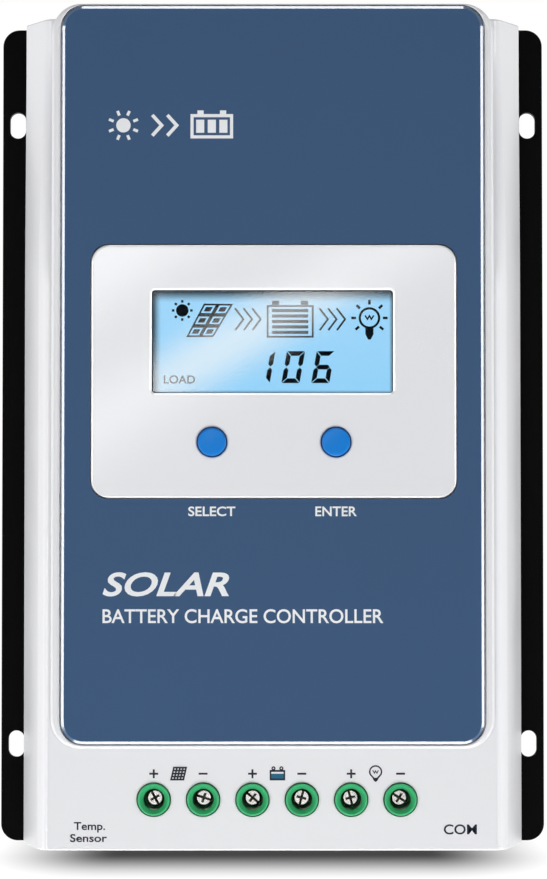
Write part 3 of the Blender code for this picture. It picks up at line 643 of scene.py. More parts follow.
blue_plate = grained(
    "blue_lacquer", (0.0405, 0.0940, 0.197), (0.34, 0.46), tone=0.015, relief=0.05, grain=3000,
    finish={"Specular IOR Level": 0.40},
)
# The bevel's blue is lighter than the plate's. That is partly a painted highlight for the bright line along
# the edge; its glossy coat is real.
bevel_lightened_for_highlight = grained(
    "polished_bevel_lightened", (0.10, 0.17, 0.29), (0.10, 0.18), tone=0.05, relief=0.02, grain=1800,
    finish={"Coat Weight": 1.0, "Coat IOR": 1.7, "Coat Roughness": 0.06},
)

fascia_outline = rounded_outline(fascia_x, fascia_z, fascia_corner, 14)
fascia = slab("front_plate", fascia_outline, (
    (0, pocket_floor_y - clearance), (0, fascia_front_y + bevel_depth),
    (fascia_bevel, fascia_front_y + 0.00003), (fascia_bevel + 0.00015, fascia_front_y),
))
seat_outline = rounded_outline(
    (bezel_x[0] - bezel_gap, bezel_x[1] + bezel_gap), (bezel_z[0] - bezel_gap, bezel_z[1] + bezel_gap),
    bezel_corner + clearance, 14,
)
work(fascia, "DIFFERENCE", [slab("bezel_seat", seat_outline, ((0, past_front_y), (0, -0.055)))])
even_shading(fascia, 12)
finish_piece(fascia, "controller", "blue_plate", blue_plate, "fascia_panel")
fascia.data.materials.append(bevel_lightened_for_highlight)
for face in fascia.data.polygons:
    on_bevel = -0.97 < face.normal.y < -0.3
    face.material_index = int(on_bevel)

ink_depth = 0.00004
over_ink = 1.5 * ink_depth


def lettering(name, words, x_range, z_range, y, weight=0.0, slant=0.0):
    """Plain letters fitted into a box on a plane that faces the front, thin as a print."""
    letters = bpy.data.curves.new(name, "FONT")
    letters.body = words
    letters.size = 1.0
    letters.offset = weight
    letters.shear = slant
    letters.extrude = 0.5
    letters.resolution_u = 5
    source = link_piece(name + "_curve", letters)
    bpy.context.view_layer.update()
    mesh = bpy.data.meshes.new_from_object(source.evaluated_get(bpy.context.evaluated_depsgraph_get()))
    bpy.data.objects.remove(source, do_unlink=True)
    xs = [v.co.x for v in mesh.vertices]
    ys = [v.co.y for v in mesh.vertices]
    scale_x = (x_range[1] - x_range[0]) / (max(xs) - min(xs))
    scale_z = (z_range[1] - z_range[0]) / (max(ys) - min(ys))
    for v in mesh.vertices:
        depth = -ink_depth if v.co.z > 0 else 0
        x = x_range[0] + (v.co.x - min(xs)) * scale_x
        z = z_range[0] + (v.co.y - min(ys)) * scale_z
        v.co = (x, y + depth, z)
    bm = bmesh.new()
    bm.from_mesh(mesh)
    bmesh.ops.remove_doubles(bm, verts=bm.verts, dist=0.000001)
    bmesh.ops.recalc_face_normals(bm, faces=bm.faces)
    bm.to_mesh(mesh)
    bm.free()
    return link_piece(name, mesh)


def ink_prism(bm, points, y):
    """A filled print with the given outline."""
    front = [bm.verts.new((x, y - ink_depth, z)) for x, z in points]
    back = [bm.verts.new((x, y, z)) for x, z in points]
    bm.faces.new(front)
    bm.faces.new(back[::-1])
    for index in range(len(points)):
        after = (index + 1) % len(points)
        bm.faces.new((front[index], back[index], back[after], front[after]))


def ink_band(bm, outer, inner, y):
    """A closed line between two outlines with the same number of points."""
    loops = []
    for points in (outer, inner):
        loops.append([bm.verts.new((x, y - ink_depth, z)) for x, z in points])
        loops.append([bm.verts.new((x, y, z)) for x, z in points])
    outer_front, outer_back, inner_front, inner_back = loops
    order = (outer_front, inner_front, inner_back, outer_back)
    for first, second in zip(order, order[1:] + order[:1]):
        for index in range(len(outer)):
            after = (index + 1) % len(outer)
            bm.faces.new((first[index], first[after], second[after], second[index]))


def circle_points(x, z, radius, steps=40):
    angles = [2 * math.pi * index / steps for index in range(steps)]
    return [(x + radius * math.cos(angle), z + radius * math.sin(angle)) for angle in angles]


def box_points(x0, z0, x1, z1):
    return [(x0, z0), (x1, z0), (x1, z1), (x0, z1)]


def stroke_points(points, width):
    """Outline of a line of even width through the points, with mitred joints."""
    left = []
    right = []
    for index, point in enumerate(points):
        here = Vector(point)
        before = Vector(points[max(index - 1, 0)])
        after = Vector(points[min(index + 1, len(points) - 1)])
        into = (here - before).normalized() if index else (after - here).normalized()
        out = (after - here).normalized() if index < len(points) - 1 else into
        side_in = Vector((-into.y, into.x))
        side_out = Vector((-out.y, out.x))
        mitre = (side_in + side_out).normalized()
        reach = width / 2 / max(mitre.dot(side_in), 0.3)
        left.append(tuple(here + mitre * reach))
        right.append(tuple(here - mitre * reach))
    return left + right[::-1]


def ink_rays(bm, x, z, inner, outer, width, angles, y):
    """Short strokes that point away from a centre."""
    for degrees in angles:
        angle = math.radians(degrees)
        along = (math.cos(angle), math.sin(angle))
        ends = [(x + along[0] * reach, z + along[1] * reach) for reach in (inner, outer)]
        ink_prism(bm, stroke_points(ends, width), y)


def ink_piece(name, bm):
    bmesh.ops.recalc_face_normals(bm, faces=bm.faces)
    mesh = bpy.data.meshes.new(name)
    bm.to_mesh(mesh)
    bm.free()
    return link_piece(name, mesh)


white_ink = grained("white_print", (0.86, 0.88, 0.90), (0.45, 0.60), tone=0.03, relief=0.15, grain=4000)
print_y = fascia_front_y - 0.00001
printed = [
    lettering("print_select", "SELECT", (-0.0268, -0.0118), (-0.0290, -0.0259), print_y, 0.018),
    lettering("print_enter", "ENTER", (0.0136, 0.0268), (-0.0290, -0.0259), print_y, 0.018),
    lettering("print_type", "SOLAR", (-0.0540, -0.0138), (-0.0545, -0.0468), print_y, 0.022, 0.28),
    lettering(
        "print_line", "BATTERY CHARGE CONTROLLER", (-0.0540, 0.0352), (-0.0630, -0.0585), print_y, 0.012,
    ),
]
bm = bmesh.new()
sun_x, sun_z = -0.0476, 0.0958
ink_prism(bm, circle_points(sun_x, sun_z, 0.0023), print_y)
ink_rays(bm, sun_x, sun_z, 0.0034, 0.0050, 0.0009, [45 * index + 22.5 for index in range(8)], print_y)
for shift in (0, 0.0048):
    chevron = [(-0.0384 + shift, 0.0991), (-0.0354 + shift, 0.0958), (-0.0384 + shift, 0.0925)]
    ink_prism(bm, stroke_points(chevron, 0.0011), print_y)
ink_band(
    bm, box_points(-0.0262, 0.0916, -0.0126, 0.0994), box_points(-0.0252, 0.0926, -0.0136, 0.0984), print_y,
)
for post in (-0.0240, -0.0168):
    ink_prism(bm, box_points(post, 0.0994, post + 0.0020, 0.1006), print_y)
for level in range(3):
    bar = box_points(-0.0244 + 0.0037 * level, 0.0934, -0.0218 + 0.0037 * level, 0.0976)
    ink_prism(bm, bar, print_y)
printed.append(ink_piece("print_pictograms", bm))
for piece in printed:
    finish_piece(piece, "controller", "blue_plate", white_ink)

# ------------------------------------------------------------------------ display bezel
# A light grey moulding with a raised flat face frames the display and guides both push buttons. Its
# outer edge, its window and its button holes are moulded with small chamfers.
bezel_front_y = -0.0630
window_x = (-0.0385, 0.0384)
window_z = (0.0102, 0.0431)
window_corner = 0.0012
button_hole_radius = 0.00495

bezel_plastic = grained(
    "bezel_gloss_plastic", (0.850, 0.858, 0.886), (0.20, 0.28), tone=0.008, relief=0.03, grain=2600,
    finish={"Coat Weight": 1.0, "Coat Roughness": 0.08},
)

bezel = slab("bezel_frame", rounded_outline(bezel_x, bezel_z, bezel_corner, 14), (
    (0, pocket_floor_y - clearance), (0, bezel_front_y + 0.00028), (0.0005, bezel_front_y + 0.00002),
    (0.00062, bezel_front_y),
))
window_cut = rounded_outline(window_x, window_z, window_corner)
cutters = [slab("window_cut", window_cut, (
    (-0.0006, past_front_y), (-0.0006, bezel_front_y), (0, bezel_front_y + 0.00036), (0, -0.055),
))]
for name, x in button_x.items():
    cutters.append(turned(f"{name}_guide", (
        (button_hole_radius + 0.0006, past_front_y), (button_hole_radius + 0.0006, bezel_front_y),
        (button_hole_radius, bezel_front_y + 0.00034), (button_hole_radius, -0.055),
    ), x, button_z, 64))
work(bezel, "DIFFERENCE", cutters)
even_shading(bezel, 30)
finish_piece(bezel, "controller", "bezel_grey", bezel_plastic, "display_bezel")

# ------------------------------------------------------------------------ display
# Behind the clear pane lies a segment display on a white backlight. The cell glows pale blue and its
# segments are a thin dark layer on the glass: sun, panel, battery, bulb, arrows and three digits. Its glow
# is dimmed along the window's edges as painted shade of the recess, and paled along a slanted band as a
# painted sheen.
sheen_climb = math.radians(31)
pane_clear = grained(
    "clear_window_pane", (0.97, 0.99, 1.0), (0.01, 0.03), tone=0.0, relief=0.01, grain=900,
    finish={"Transmission Weight": 1.0, "IOR": 1.46},
)
pane_outline = rounded_outline(
    (window_x[0] + clearance, window_x[1] - clearance), (window_z[0] + clearance, window_z[1] - clearance),
    0.0010,
)
pane = slab("window_pane", pane_outline, (
    (0.0001, -0.0608), (0, -0.0609), (0, -0.06168), (0.00012, -0.0618),
))
even_shading(pane)
finish_piece(pane, "controller", "clear_window", pane_clear, "display_window")

lcd_low, lcd_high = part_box("lcd_panel")


def slanted_band(tree, place, centre, half_width, strength=1.0):
    """Full strength along a line that climbs to the right, fading to nothing at the half width."""
    across = wired(tree, "ShaderNodeVectorMath", {
        0: place, 1: (-math.sin(sheen_climb), 0, math.cos(sheen_climb)),
    }, operation="DOT_PRODUCT").outputs["Value"]
    off_line = worked_out(tree, "ABSOLUTE", worked_out(tree, "SUBTRACT", across, centre))
    return carried(tree, off_line, half_width, 0.0, 0.0, strength, smooth=True)


lcd_glow = grained(
    "lcd_cell_glow", (0.010, 0.025, 0.040), (0.20, 0.30), tone=0.02, relief=0.03, grain=2500,
    finish={"Emission Strength": 1.0},
)
glow = lcd_glow.node_tree
cell_place = wired(glow, "ShaderNodeTexCoord").outputs["Object"]
cell_axes = wired(glow, "ShaderNodeSeparateXYZ", {0: cell_place}).outputs
backlit = wired(glow, "ShaderNodeValToRGB", {"Fac": carried(glow, cell_axes["Z"], *window_z)})
backlit.color_ramp.elements[0].color = (0.300, 0.660, 0.960, 1)
backlit.color_ramp.elements[1].color = (0.360, 0.690, 0.960, 1)
# Painted shade: the glow is dimmed near the window's edges, most along the top and the left, where the
# bezel's recess walls would shade the cell.
painted_recess_shade = 1.0
for axis, edge, depth in (
    ("Z", window_z[1], -0.0042), ("X", window_x[0], 0.0032), ("X", window_x[1], -0.0013),
    ("Z", window_z[0], 0.0011),
):
    recess_shade_step = carried(glow, cell_axes[axis], edge, edge + depth, smooth=True)
    painted_recess_shade = worked_out(glow, "MULTIPLY", painted_recess_shade, recess_shade_step)
# Painted sheen: along a slanted band the cell's own glow turns paler. This joins the real reflection of the
# card in the pane.
painted_sheen_band = slanted_band(glow, cell_place, 0.0296, 0.0155)
glow_with_painted_sheen = wired(glow, "ShaderNodeMix", {
    0: painted_sheen_band, 6: backlit.outputs["Color"], 7: (0.35, 0.50, 0.61, 1),
}, data_type="RGBA").outputs[2]
glow.links.new(scaled(glow, glow_with_painted_sheen, painted_recess_shade), shader_of(lcd_glow).inputs["Emission Color"])
cell = block("lcd_cell", tuple(lcd_low), tuple(lcd_high), 0.0003)
even_shading(cell)
finish_piece(cell, "controller", "lcd_glass", lcd_glow, "lcd_panel")

segment_dark = grained(
    "lcd_segment_dark", (0.002, 0.007, 0.012), (0.30, 0.42), tone=0.10, relief=0.04,
    finish={"Specular IOR Level": 0.1},
)
segment_y = lcd_low.y - 0.00002

bm = bmesh.new()
sun = (-0.0288, 0.0367)
ink_prism(bm, circle_points(*sun, 0.0020), segment_y)
ink_rays(bm, *sun, 0.0025, 0.0033, 0.00076, [45 * index for index in range(8)], segment_y)
for start in (-0.0120, 0.01495):
    for index in range(3):
        x = start + 0.00275 * index
        chevron = [(x, 0.0374), (x + 0.0027, 0.0339), (x + 0.0001, 0.0304)]
        ink_prism(bm, stroke_points(chevron, 0.00060), segment_y)
battery_low, battery_high, battery_line = (-0.00185, 0.0280), (0.0131, 0.0384), 0.00057
ink_band(bm, box_points(*battery_low, *battery_high), box_points(
    battery_low[0] + battery_line, battery_low[1] + battery_line,
    battery_high[0] - battery_line, battery_high[1] - battery_line,
), segment_y)
for post in (-0.0002, 0.0090):
    ink_prism(bm, box_points(post, 0.0385, post + 0.0023, 0.0398), segment_y)
for index in range(5):
    bar_z = 0.0292 + 0.00174 * index
    ink_prism(bm, box_points(-0.00016, bar_z, 0.0114, bar_z + 0.0010), segment_y)
bulb_x, bulb_z = 0.0309, 0.0343
ink_band(bm, circle_points(bulb_x, bulb_z, 0.00345), circle_points(bulb_x, bulb_z, 0.00272), segment_y)
bulb_base = ((0.0013, 0.0312), (0.0013, 0.0291), (0.0008, 0.0281), (0.0004, 0.0274))
base_points = [(bulb_x + reach, z) for reach, z in bulb_base]
base_points += [(bulb_x - reach, z) for reach, z in reversed(bulb_base)]
ink_prism(bm, base_points, segment_y - over_ink)
filament = [(-0.0014, 0.0351), (-0.0006, 0.0339), (0, 0.0350), (0.0006, 0.0339), (0.0014, 0.0351)]
ink_prism(bm, stroke_points([(bulb_x + x, z) for x, z in filament], 0.00048), segment_y)
ink_rays(bm, bulb_x, bulb_z, 0.0043, 0.0058, 0.0008, (-40, 0, 45, 90, 135, 180, 220), segment_y)

digit_slant = math.tan(math.radians(10))
digit_low, digit_high = 0.0135, 0.0237
digit_width = 0.0058
digit_line = 0.0015
segment_sets = {"0": "abcdef", "1": "bc", "6": "acdefg"}


def slanted(x, z):
    return x + (z - digit_low) * digit_slant, z


def digit_segments(bm, figure, left, y):
    """Seven-segment figure: bars mitred where they meet at the corners, leaning to the right."""
    right = left + digit_width
    middle = (digit_low + digit_high) / 2
    half = digit_line / 2
    gap = 0.00016
    left_in = left + digit_line
    right_in = right - digit_line
    for label in segment_sets[figure]:
        if label == "g":
            points = [
                (left + half, middle), (left_in, middle - half), (right_in, middle - half),
                (right - half, middle), (right_in, middle + half), (left_in, middle + half),
            ]
        elif label in "ad":
            outer, inward = (digit_high, -1) if label == "a" else (digit_low, 1)
            inner = outer + inward * digit_line
            points = [
                (left + gap, outer), (right - gap, outer), (right_in - gap, inner), (left_in + gap, inner),
            ]
        else:
            outer, inward = (left, 1) if label in "fe" else (right, -1)
            end, down = (digit_high, -1) if label in "fb" else (digit_low, 1)
            inner = outer + inward * digit_line
            points = [
                (outer, end + down * gap), (inner, end + down * (digit_line + gap)),
                (inner, middle - down * (half + gap)), (outer + inward * half, middle - down * gap),
                (outer, middle - down * (half + gap)),
            ]
        ink_prism(bm, [slanted(px, pz) for px, pz in points], y)


for position, figure in enumerate("106"):
    digit_segments(bm, figure, -0.0067 + 0.0095 * position, segment_y)
dark_segments = ink_piece("lcd_segments", bm)
finish_piece(dark_segments, "controller", "lcd_glass", segment_dark)

bm = bmesh.new()
corners = {"tl": (-0.0219, 0.0389), "tr": (-0.0126, 0.0388), "bl": (-0.0275, 0.0282), "br": (-0.0189, 0.0282)}


def across(u, v):
    """A point of the slanted solar panel picture, u from left to right and v from bottom to top."""
    low = Vector(corners["bl"]).lerp(Vector(corners["br"]), u)
    high = Vector(corners["tl"]).lerp(Vector(corners["tr"]), u)
    return tuple(low.lerp(high, v))


def panel_quad(u0, v0, u1, v1):
    return [across(u0, v0), across(u1, v0), across(u1, v1), across(u0, v1)]


for column in range(2):
    for row in range(3):
        u0, v0 = column / 2, row / 3
        u1, v1 = u0 + 0.5, v0 + 1 / 3
        frame_inside = panel_quad(u0 + 0.065, v0 + 0.052, u1 - 0.065, v1 - 0.052)
        ink_band(bm, panel_quad(u0, v0, u1, v1), frame_inside, segment_y)
        ink_prism(bm, panel_quad(u0 + 0.135, v0 + 0.100, u1 - 0.135, v1 - 0.100), segment_y)
panel_cells = ink_piece("lcd_panel_cells", bm)
finish_piece(panel_cells, "controller", "lcd_glass", segment_dark)
load_word = lettering("lcd_load_word", "LOAD", (-0.0347, -0.0247), (0.0133, 0.0160), segment_y, 0.015)
finish_piece(load_word, "controller", "lcd_glass", segment_dark)

# ------------------------------------------------------------------------ push buttons
# Two blue caps, each captive behind the bezel by its flange, with a slightly crowned face and a rounded
# edge. A short stem behind each presses the tact switch on the display board.
button_radius = 0.0045
button_front_y = -0.0638
button_edge = 0.0005
button_crown = 0.0001
button_blue = grained(
    "button_blue_gloss", (0.0040, 0.210, 0.690), (0.28, 0.38), tone=0.02, relief=0.05, grain=2500,
    finish={"Specular IOR Level": 0.30, "Coat Weight": 0.15, "Coat Roughness": 0.12},
)
for name, x in button_x.items():
    profile = [(0.0002, button_front_y)]
    for index in range(1, 6):
        radius = (button_radius - button_edge) * index / 5
        profile.append((radius, button_front_y + button_crown * (index / 5) ** 2))
    for index in range(1, 7):
        angle = math.radians(15 * index)
        profile.append((
            button_radius - button_edge + button_edge * math.sin(angle),
            button_front_y + button_crown + button_edge * (1 - math.cos(angle)),
        ))
    profile += [
        (button_radius, -0.0606), (0.0056, -0.0606), (0.0056, -0.0596), (0.0017, -0.0596), (0.0017, -0.0569),
        (0.0014, -0.0566), (0.0002, -0.0566),
    ]
    cap = turned(f"{name}_cap", profile, x, button_z, 72)
    even_shading(cap, 40)
    finish_piece(cap, f"{name}_button", "button_blue", button_blue, f"{name}_button")

# ------------------------------------------------------------------------ terminal blocks
# Three two-pole blocks of green polyamide sit on the main board behind the deck. A round collar of each
# pole comes up through the deck and leads down a funnel to the screw; wires enter from below.
collar_radius = 0.0051
collar_front_y = -0.0622
block_z = (-0.1322, -0.1060)
block_y = (-0.0586, -0.0239)
block_gap = 0.00018
cage_way_y = (-0.0433, -0.0249)
cage_way_half_width = 0.0058
cage_way_half_height = 0.0048
wire_entry_y = (-0.0342, -0.0267)
wire_entry_half_width = 0.0040
bar_way_y = (-0.0360, -0.0339)
bar_way_half_width = 0.0037
bar_way_z = (-0.1160, -0.1000)

terminal_green = grained(
    "green_polyamide", (0.058, 0.480, 0.195), (0.28, 0.40), tone=0.04, relief=0.12, grain=2600,
    finish={
        "Subsurface Weight": 0.12, "Subsurface Radius": (0.0006, 0.0022, 0.0010), "Subsurface Scale": 0.5,
    },
)

for pair_number, pair in enumerate(("solar", "battery", "load")):
    centres = terminal_x[2 * pair_number:2 * pair_number + 2]
    half = terminal_pitch / 2 - block_gap
    name = f"{pair}_terminal_block"
    body = block(
        f"{pair}_terminals", (centres[0] - half, block_y[0], block_z[0]),
        (centres[1] + half, block_y[1], block_z[1]), 0.0004,
    )
    collars = []
    hollows = []
    for number, x in enumerate(centres):
        collars.append(turned(f"collar_{number}", (
            (0.0030, -0.0570), (collar_radius, -0.0570), (collar_radius, collar_front_y + 0.0003),
            (collar_radius - 0.0001, collar_front_y + 0.0001), (collar_radius - 0.0003, collar_front_y),
            (0.0030, collar_front_y),
        ), x, terminal_z, 64, loop=True))
        hollows.append(turned(f"well_{number}", (
            (0.00455, past_front_y), (0.00455, collar_front_y), (0.00435, collar_front_y + 0.0003),
            (0.00345, -0.0599), (0.00335, -0.0592), (0.0033, -0.0480), (0.0033, -0.0443), (0.0023, -0.0443),
            (0.0023, -0.0400),
        ), x, terminal_z, 64))
        hollows.append(block(
            f"cage_way_{number}", (x - cage_way_half_width, cage_way_y[0], terminal_z - cage_way_half_height),
            (x + cage_way_half_width, cage_way_y[1], terminal_z + cage_way_half_height),
        ))
        entry = rounded_outline(either_side(x, wire_entry_half_width), wire_entry_y, 0.0008)
        hollows.append(slab(f"entry_{number}", entry, (
            (-0.0006, past_bottom_z), (-0.0006, block_z[0]), (0, block_z[0] + 0.0006), (0, -0.1200),
        ), "Z"))
        hollows.append(block(
            f"bar_way_{number}", (x - bar_way_half_width, bar_way_y[0], bar_way_z[0]),
            (x + bar_way_half_width, bar_way_y[1], bar_way_z[1]),
        ))
    work(body, "UNION", collars)
    work(body, "DIFFERENCE", hollows)
    even_shading(body, 30)
    finish_piece(body, "controller", "terminal_green", terminal_green, name)

# ------------------------------------------------------------------------ clamp screws
# Each pole has a nickel plated combination screw, with a slot across a cross recess. It hangs in the
# well and draws its cage up; every screw stands at its own angle, as an assembler's driver left it.
screw_head_y = (-0.0465, -0.0445)
screw_turns = {
    "solar_plus": 62, "solar_minus": 18, "battery_plus": 40, "battery_minus": 105,
    "load_plus": 75, "load_minus": 33,
}
for (pole, turn), x in zip(screw_turns.items(), terminal_x):
    screw = turned(f"{pole}_screw_shape", (
        (0.0002, screw_head_y[0]), (0.0022, screw_head_y[0] + 0.00001), (0.0025, screw_head_y[0] + 0.0002),
        (0.0027, screw_head_y[0] + 0.0005), (0.0027, screw_head_y[1]), (0.0020, screw_head_y[1]),
        (0.0020, -0.0366), (0.0014, -0.0360), (0.0002, -0.0360),
    ), x, terminal_z, 48)
    recess = cross_cutters(
        pole, x, terminal_z, screw_head_y[0], 0.0011, 0.0016, 0.0008, turn, slot=(0.0040, 0.0008),
    )
    work(screw, "DIFFERENCE", recess)
    even_shading(screw)
    finish_piece(screw, f"{pole}_clamp_screw", "nickel", nickel, f"{pole}_clamp_screw")

# ------------------------------------------------------------------------ deck prints
# Dark ink on the white deck names each pole and port: plus and minus signs, a solar panel, a battery, a
# bulb, and the words for the temperature probe and the data port.
navy_ink = grained("navy_print", (0.008, 0.014, 0.028), (0.45, 0.60), tone=0.08, relief=0.10, grain=3600)
teal_ink = grained("teal_print", (0.010, 0.130, 0.225), (0.40, 0.55), tone=0.05, relief=0.10, grain=3600)
deck_y = terminal_face_y - 0.00001
bm = bmesh.new()
sign_z = -0.1107
sign_half = 0.0014
sign_line = 0.00060
for number, x in enumerate(terminal_x):
    ink_prism(bm, box_points(
        x - sign_half, sign_z - sign_line / 2, x + sign_half, sign_z + sign_line / 2,
    ), deck_y)
    if number % 2 == 0:
        for side in (-1, 1):
            near = sign_z + side * sign_line / 2
            far = sign_z + side * sign_half
            upright = box_points(x - sign_line / 2, min(near, far), x + sign_line / 2, max(near, far))
            ink_prism(bm, upright, deck_y)
panel_low, panel_high, panel_lean = -0.1128, -0.1085, 0.0010
panel_left, panel_width = -0.0325, 0.0044


def panel_point(u, v):
    return panel_left + panel_width * u + panel_lean * v, panel_low + (panel_high - panel_low) * v


grid_line = 0.115
for index in range(5):
    near = index / 4 * (1 - grid_line)
    far = near + grid_line
    upright = [panel_point(near, 0), panel_point(far, 0), panel_point(far, 1), panel_point(near, 1)]
    ink_prism(bm, upright, deck_y)
    crossbar = [panel_point(0, near), panel_point(1, near), panel_point(1, far), panel_point(0, far)]
    ink_prism(bm, crossbar, deck_y - over_ink)
ink_band(
    bm, box_points(-0.0009, -0.1128, 0.0040, -0.1095), box_points(-0.0004, -0.1122, 0.0035, -0.1101), deck_y,
)
for post_x in (0.0003, 0.0028):
    ink_band(
        bm, circle_points(post_x, -0.1090, 0.00065, 20), circle_points(post_x, -0.1090, 0.00025, 20), deck_y,
    )
bulb_x, bulb_z, bulb_radius = 0.0327, -0.1101, 0.0021
outer = arc_points(bulb_x, bulb_z, bulb_radius, -28, 236, 24)
inner = arc_points(bulb_x, bulb_z, bulb_radius - 0.00045, -28, 236, 24)
outer = [(bulb_x + 0.0008, -0.1122)] + outer + [(bulb_x - 0.0008, -0.1122)]
inner = [(bulb_x + 0.0004, -0.1120)] + inner + [(bulb_x - 0.0004, -0.1120)]
ink_prism(bm, outer + inner[::-1], deck_y)
ink_prism(bm, [
    (bulb_x - 0.0010, -0.1120), (bulb_x + 0.0010, -0.1120), (bulb_x + 0.0006, -0.1128),
    (bulb_x + 0.0002, -0.1132), (bulb_x - 0.0002, -0.1132), (bulb_x - 0.0006, -0.1128),
], deck_y - over_ink)
filament = [(-0.0009, 0.0005), (-0.0004, -0.0004), (0, 0.0003), (0.0004, -0.0004), (0.0009, 0.0005)]
ink_prism(bm, stroke_points([(bulb_x + x, bulb_z + z) for x, z in filament], 0.00028), deck_y)
deck_prints = [
    ink_piece("deck_symbols", bm),
    lettering("print_temp", "Temp.", (-0.0630, -0.0531), (-0.1293, -0.1260), deck_y, 0.015),
    lettering("print_sensor", "Sensor", (-0.0642, -0.0525), (-0.1323, -0.1298), deck_y, 0.015),
    lettering("print_com", "COM", (0.0543, 0.0648), (-0.1299, -0.1267), deck_y, 0.015),
]
for piece in deck_prints:
    finish_piece(piece, "controller", "white_plastic", navy_ink)
bm = bmesh.new()
ink_prism(bm, box_points(-0.0004, -0.1122, 0.0035, -0.1107), deck_y)
battery_fill = ink_piece("deck_battery_fill", bm)
finish_piece(battery_fill, "controller", "white_plastic", teal_ink)

# ------------------------------------------------------------------------ ports and small metal parts
# The ports, contacts, cages and current bars are moulded or stamped parts that only show at the bottom
# wall. Each keeps its designed shape, with its sheared or moulded edges eased.
tinned = grained(
    "tinned_copper_strip", (0.75, 0.72, 0.68), (0.22, 0.38), tone=0.08, relief=0.10, metallic=1.0,
)
zinc = grained("zinc_plated_cage", (0.66, 0.67, 0.68), (0.26, 0.42), tone=0.10, relief=0.15, metallic=1.0)
gold = grained("gold_flash_contact", (0.83, 0.62, 0.25), (0.18, 0.30), tone=0.05, relief=0.06, metallic=1.0)
brass = grained("brass_standoff", (0.75, 0.58, 0.25), (0.22, 0.34), tone=0.06, relief=0.08, metallic=1.0)
socket_black = grained(
    "black_polyester", (0.014, 0.014, 0.016), (0.36, 0.52), tone=0.15, relief=0.20, grain=2200,
)


def eased(node, slot, material, width, body="controller", angle=35):
    """The designed shape of a node, with its edges rounded."""
    bm = bmesh.new()
    bm.from_mesh(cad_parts[node].data)
    bmesh.ops.remove_doubles(bm, verts=bm.verts, dist=0.000002)
    bmesh.ops.dissolve_limit(
        bm, angle_limit=math.radians(1), verts=bm.verts, edges=bm.edges, use_dissolve_boundaries=False,
    )
    mesh = bpy.data.meshes.new(node + "_shape")
    bm.to_mesh(mesh)
    bm.free()
    piece = link_piece(node + "_shape", mesh)
    soften(piece, width, 2, angle)
    even_shading(piece)
    return finish_piece(piece, body, slot, material, node)


eased("com_socket", "socket_black", socket_black, 0.00025)
eased("com_contacts", "gold_contact", gold, 0.00006)
eased("sensor_socket", "terminal_green", terminal_green, 0.00025)
eased("sensor_contacts", "tinned_copper", tinned, 0.0001)
for pole in screw_turns:
    eased(f"{pole}_current_bar", "tinned_copper", tinned, 0.00012)
    eased(f"{pole}_clamp_cage", "zinc", zinc, 0.00020, f"{pole}_clamp_cage")

# ------------------------------------------------------------------------ circuit boards and components
# Inside, two green boards carry the power stage and the display. Their tracks, the copper winding, the
# capacitors and the transistors are seen only with the cover off, so they keep their designed shapes.
backlight = grained("backlight_diffuser", (0.85, 0.90, 0.95), (0.45, 0.60), tone=0.02, relief=0.05)
switch_black = grained("switch_black_nylon", (0.020, 0.020, 0.020), (0.40, 0.56), tone=0.15, relief=0.15)
cable_grey = grained(
    "cable_grey_pvc", (0.45, 0.46, 0.48), (0.50, 0.65), tone=0.05, relief=0.15, stretch=(1, 8, 8),
)
ferrite = grained("ferrite_core", (0.40, 0.38, 0.10), (0.50, 0.68), tone=0.12, relief=0.40, grain=1800)
copper = grained("copper_winding", (0.72, 0.30, 0.12), (0.20, 0.34), tone=0.10, relief=0.08, metallic=1.0)
sleeve = grained("capacitor_sleeve", (0.03, 0.03, 0.06), (0.26, 0.38), tone=0.10, relief=0.06)
epoxy = grained("moulded_epoxy", (0.020, 0.020, 0.020), (0.48, 0.62), tone=0.15, relief=0.35, grain=2400)
pad_grey = grained("silicone_pad", (0.45, 0.50, 0.55), (0.72, 0.86), tone=0.06, relief=0.35, grain=1600)
board_green = grained("solder_mask_green", (0.010, 0.120, 0.050), (0.26, 0.40), tone=0.06, relief=0.08)
board = board_green.node_tree
flat_place = wired(board, "ShaderNodeMapping", {
    "Vector": wired(board, "ShaderNodeTexCoord").outputs["Object"], "Rotation": (math.radians(90), 0, 0),
})
tracks = wired(board, "ShaderNodeTexBrick", {
    "Vector": flat_place.outputs["Vector"], "Scale": 160, "Mortar Size": 0.045,
    "Color1": (0.006, 0.085, 0.034, 1), "Color2": (0.010, 0.120, 0.050, 1),
    "Mortar": (0.030, 0.240, 0.090, 1),
}, offset=0.5)
board.links.new(tracks.outputs["Color"], board.nodes["grain"].inputs["Base"])

carried_over = {
    "lcd_backlight": backlight, "display_board": board_green, "main_board": board_green,
    "select_switch": switch_black, "enter_switch": switch_black, "display_cable": cable_grey,
    "inductor_core": ferrite, "inductor_winding": copper, "thermal_pad": pad_grey,
}
for number in range(1, 5):
    carried_over[f"board_screw_{number}"] = nickel
    carried_over[f"board_standoff_{number}"] = brass
    if number < 4:
        carried_over[f"capacitor_{number}"] = sleeve
        carried_over[f"transistor_{number}"] = epoxy
for node, material in carried_over.items():
    node_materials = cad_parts[node].data.materials
    for slot_index in range(len(node_materials)):
        node_materials[slot_index] = material

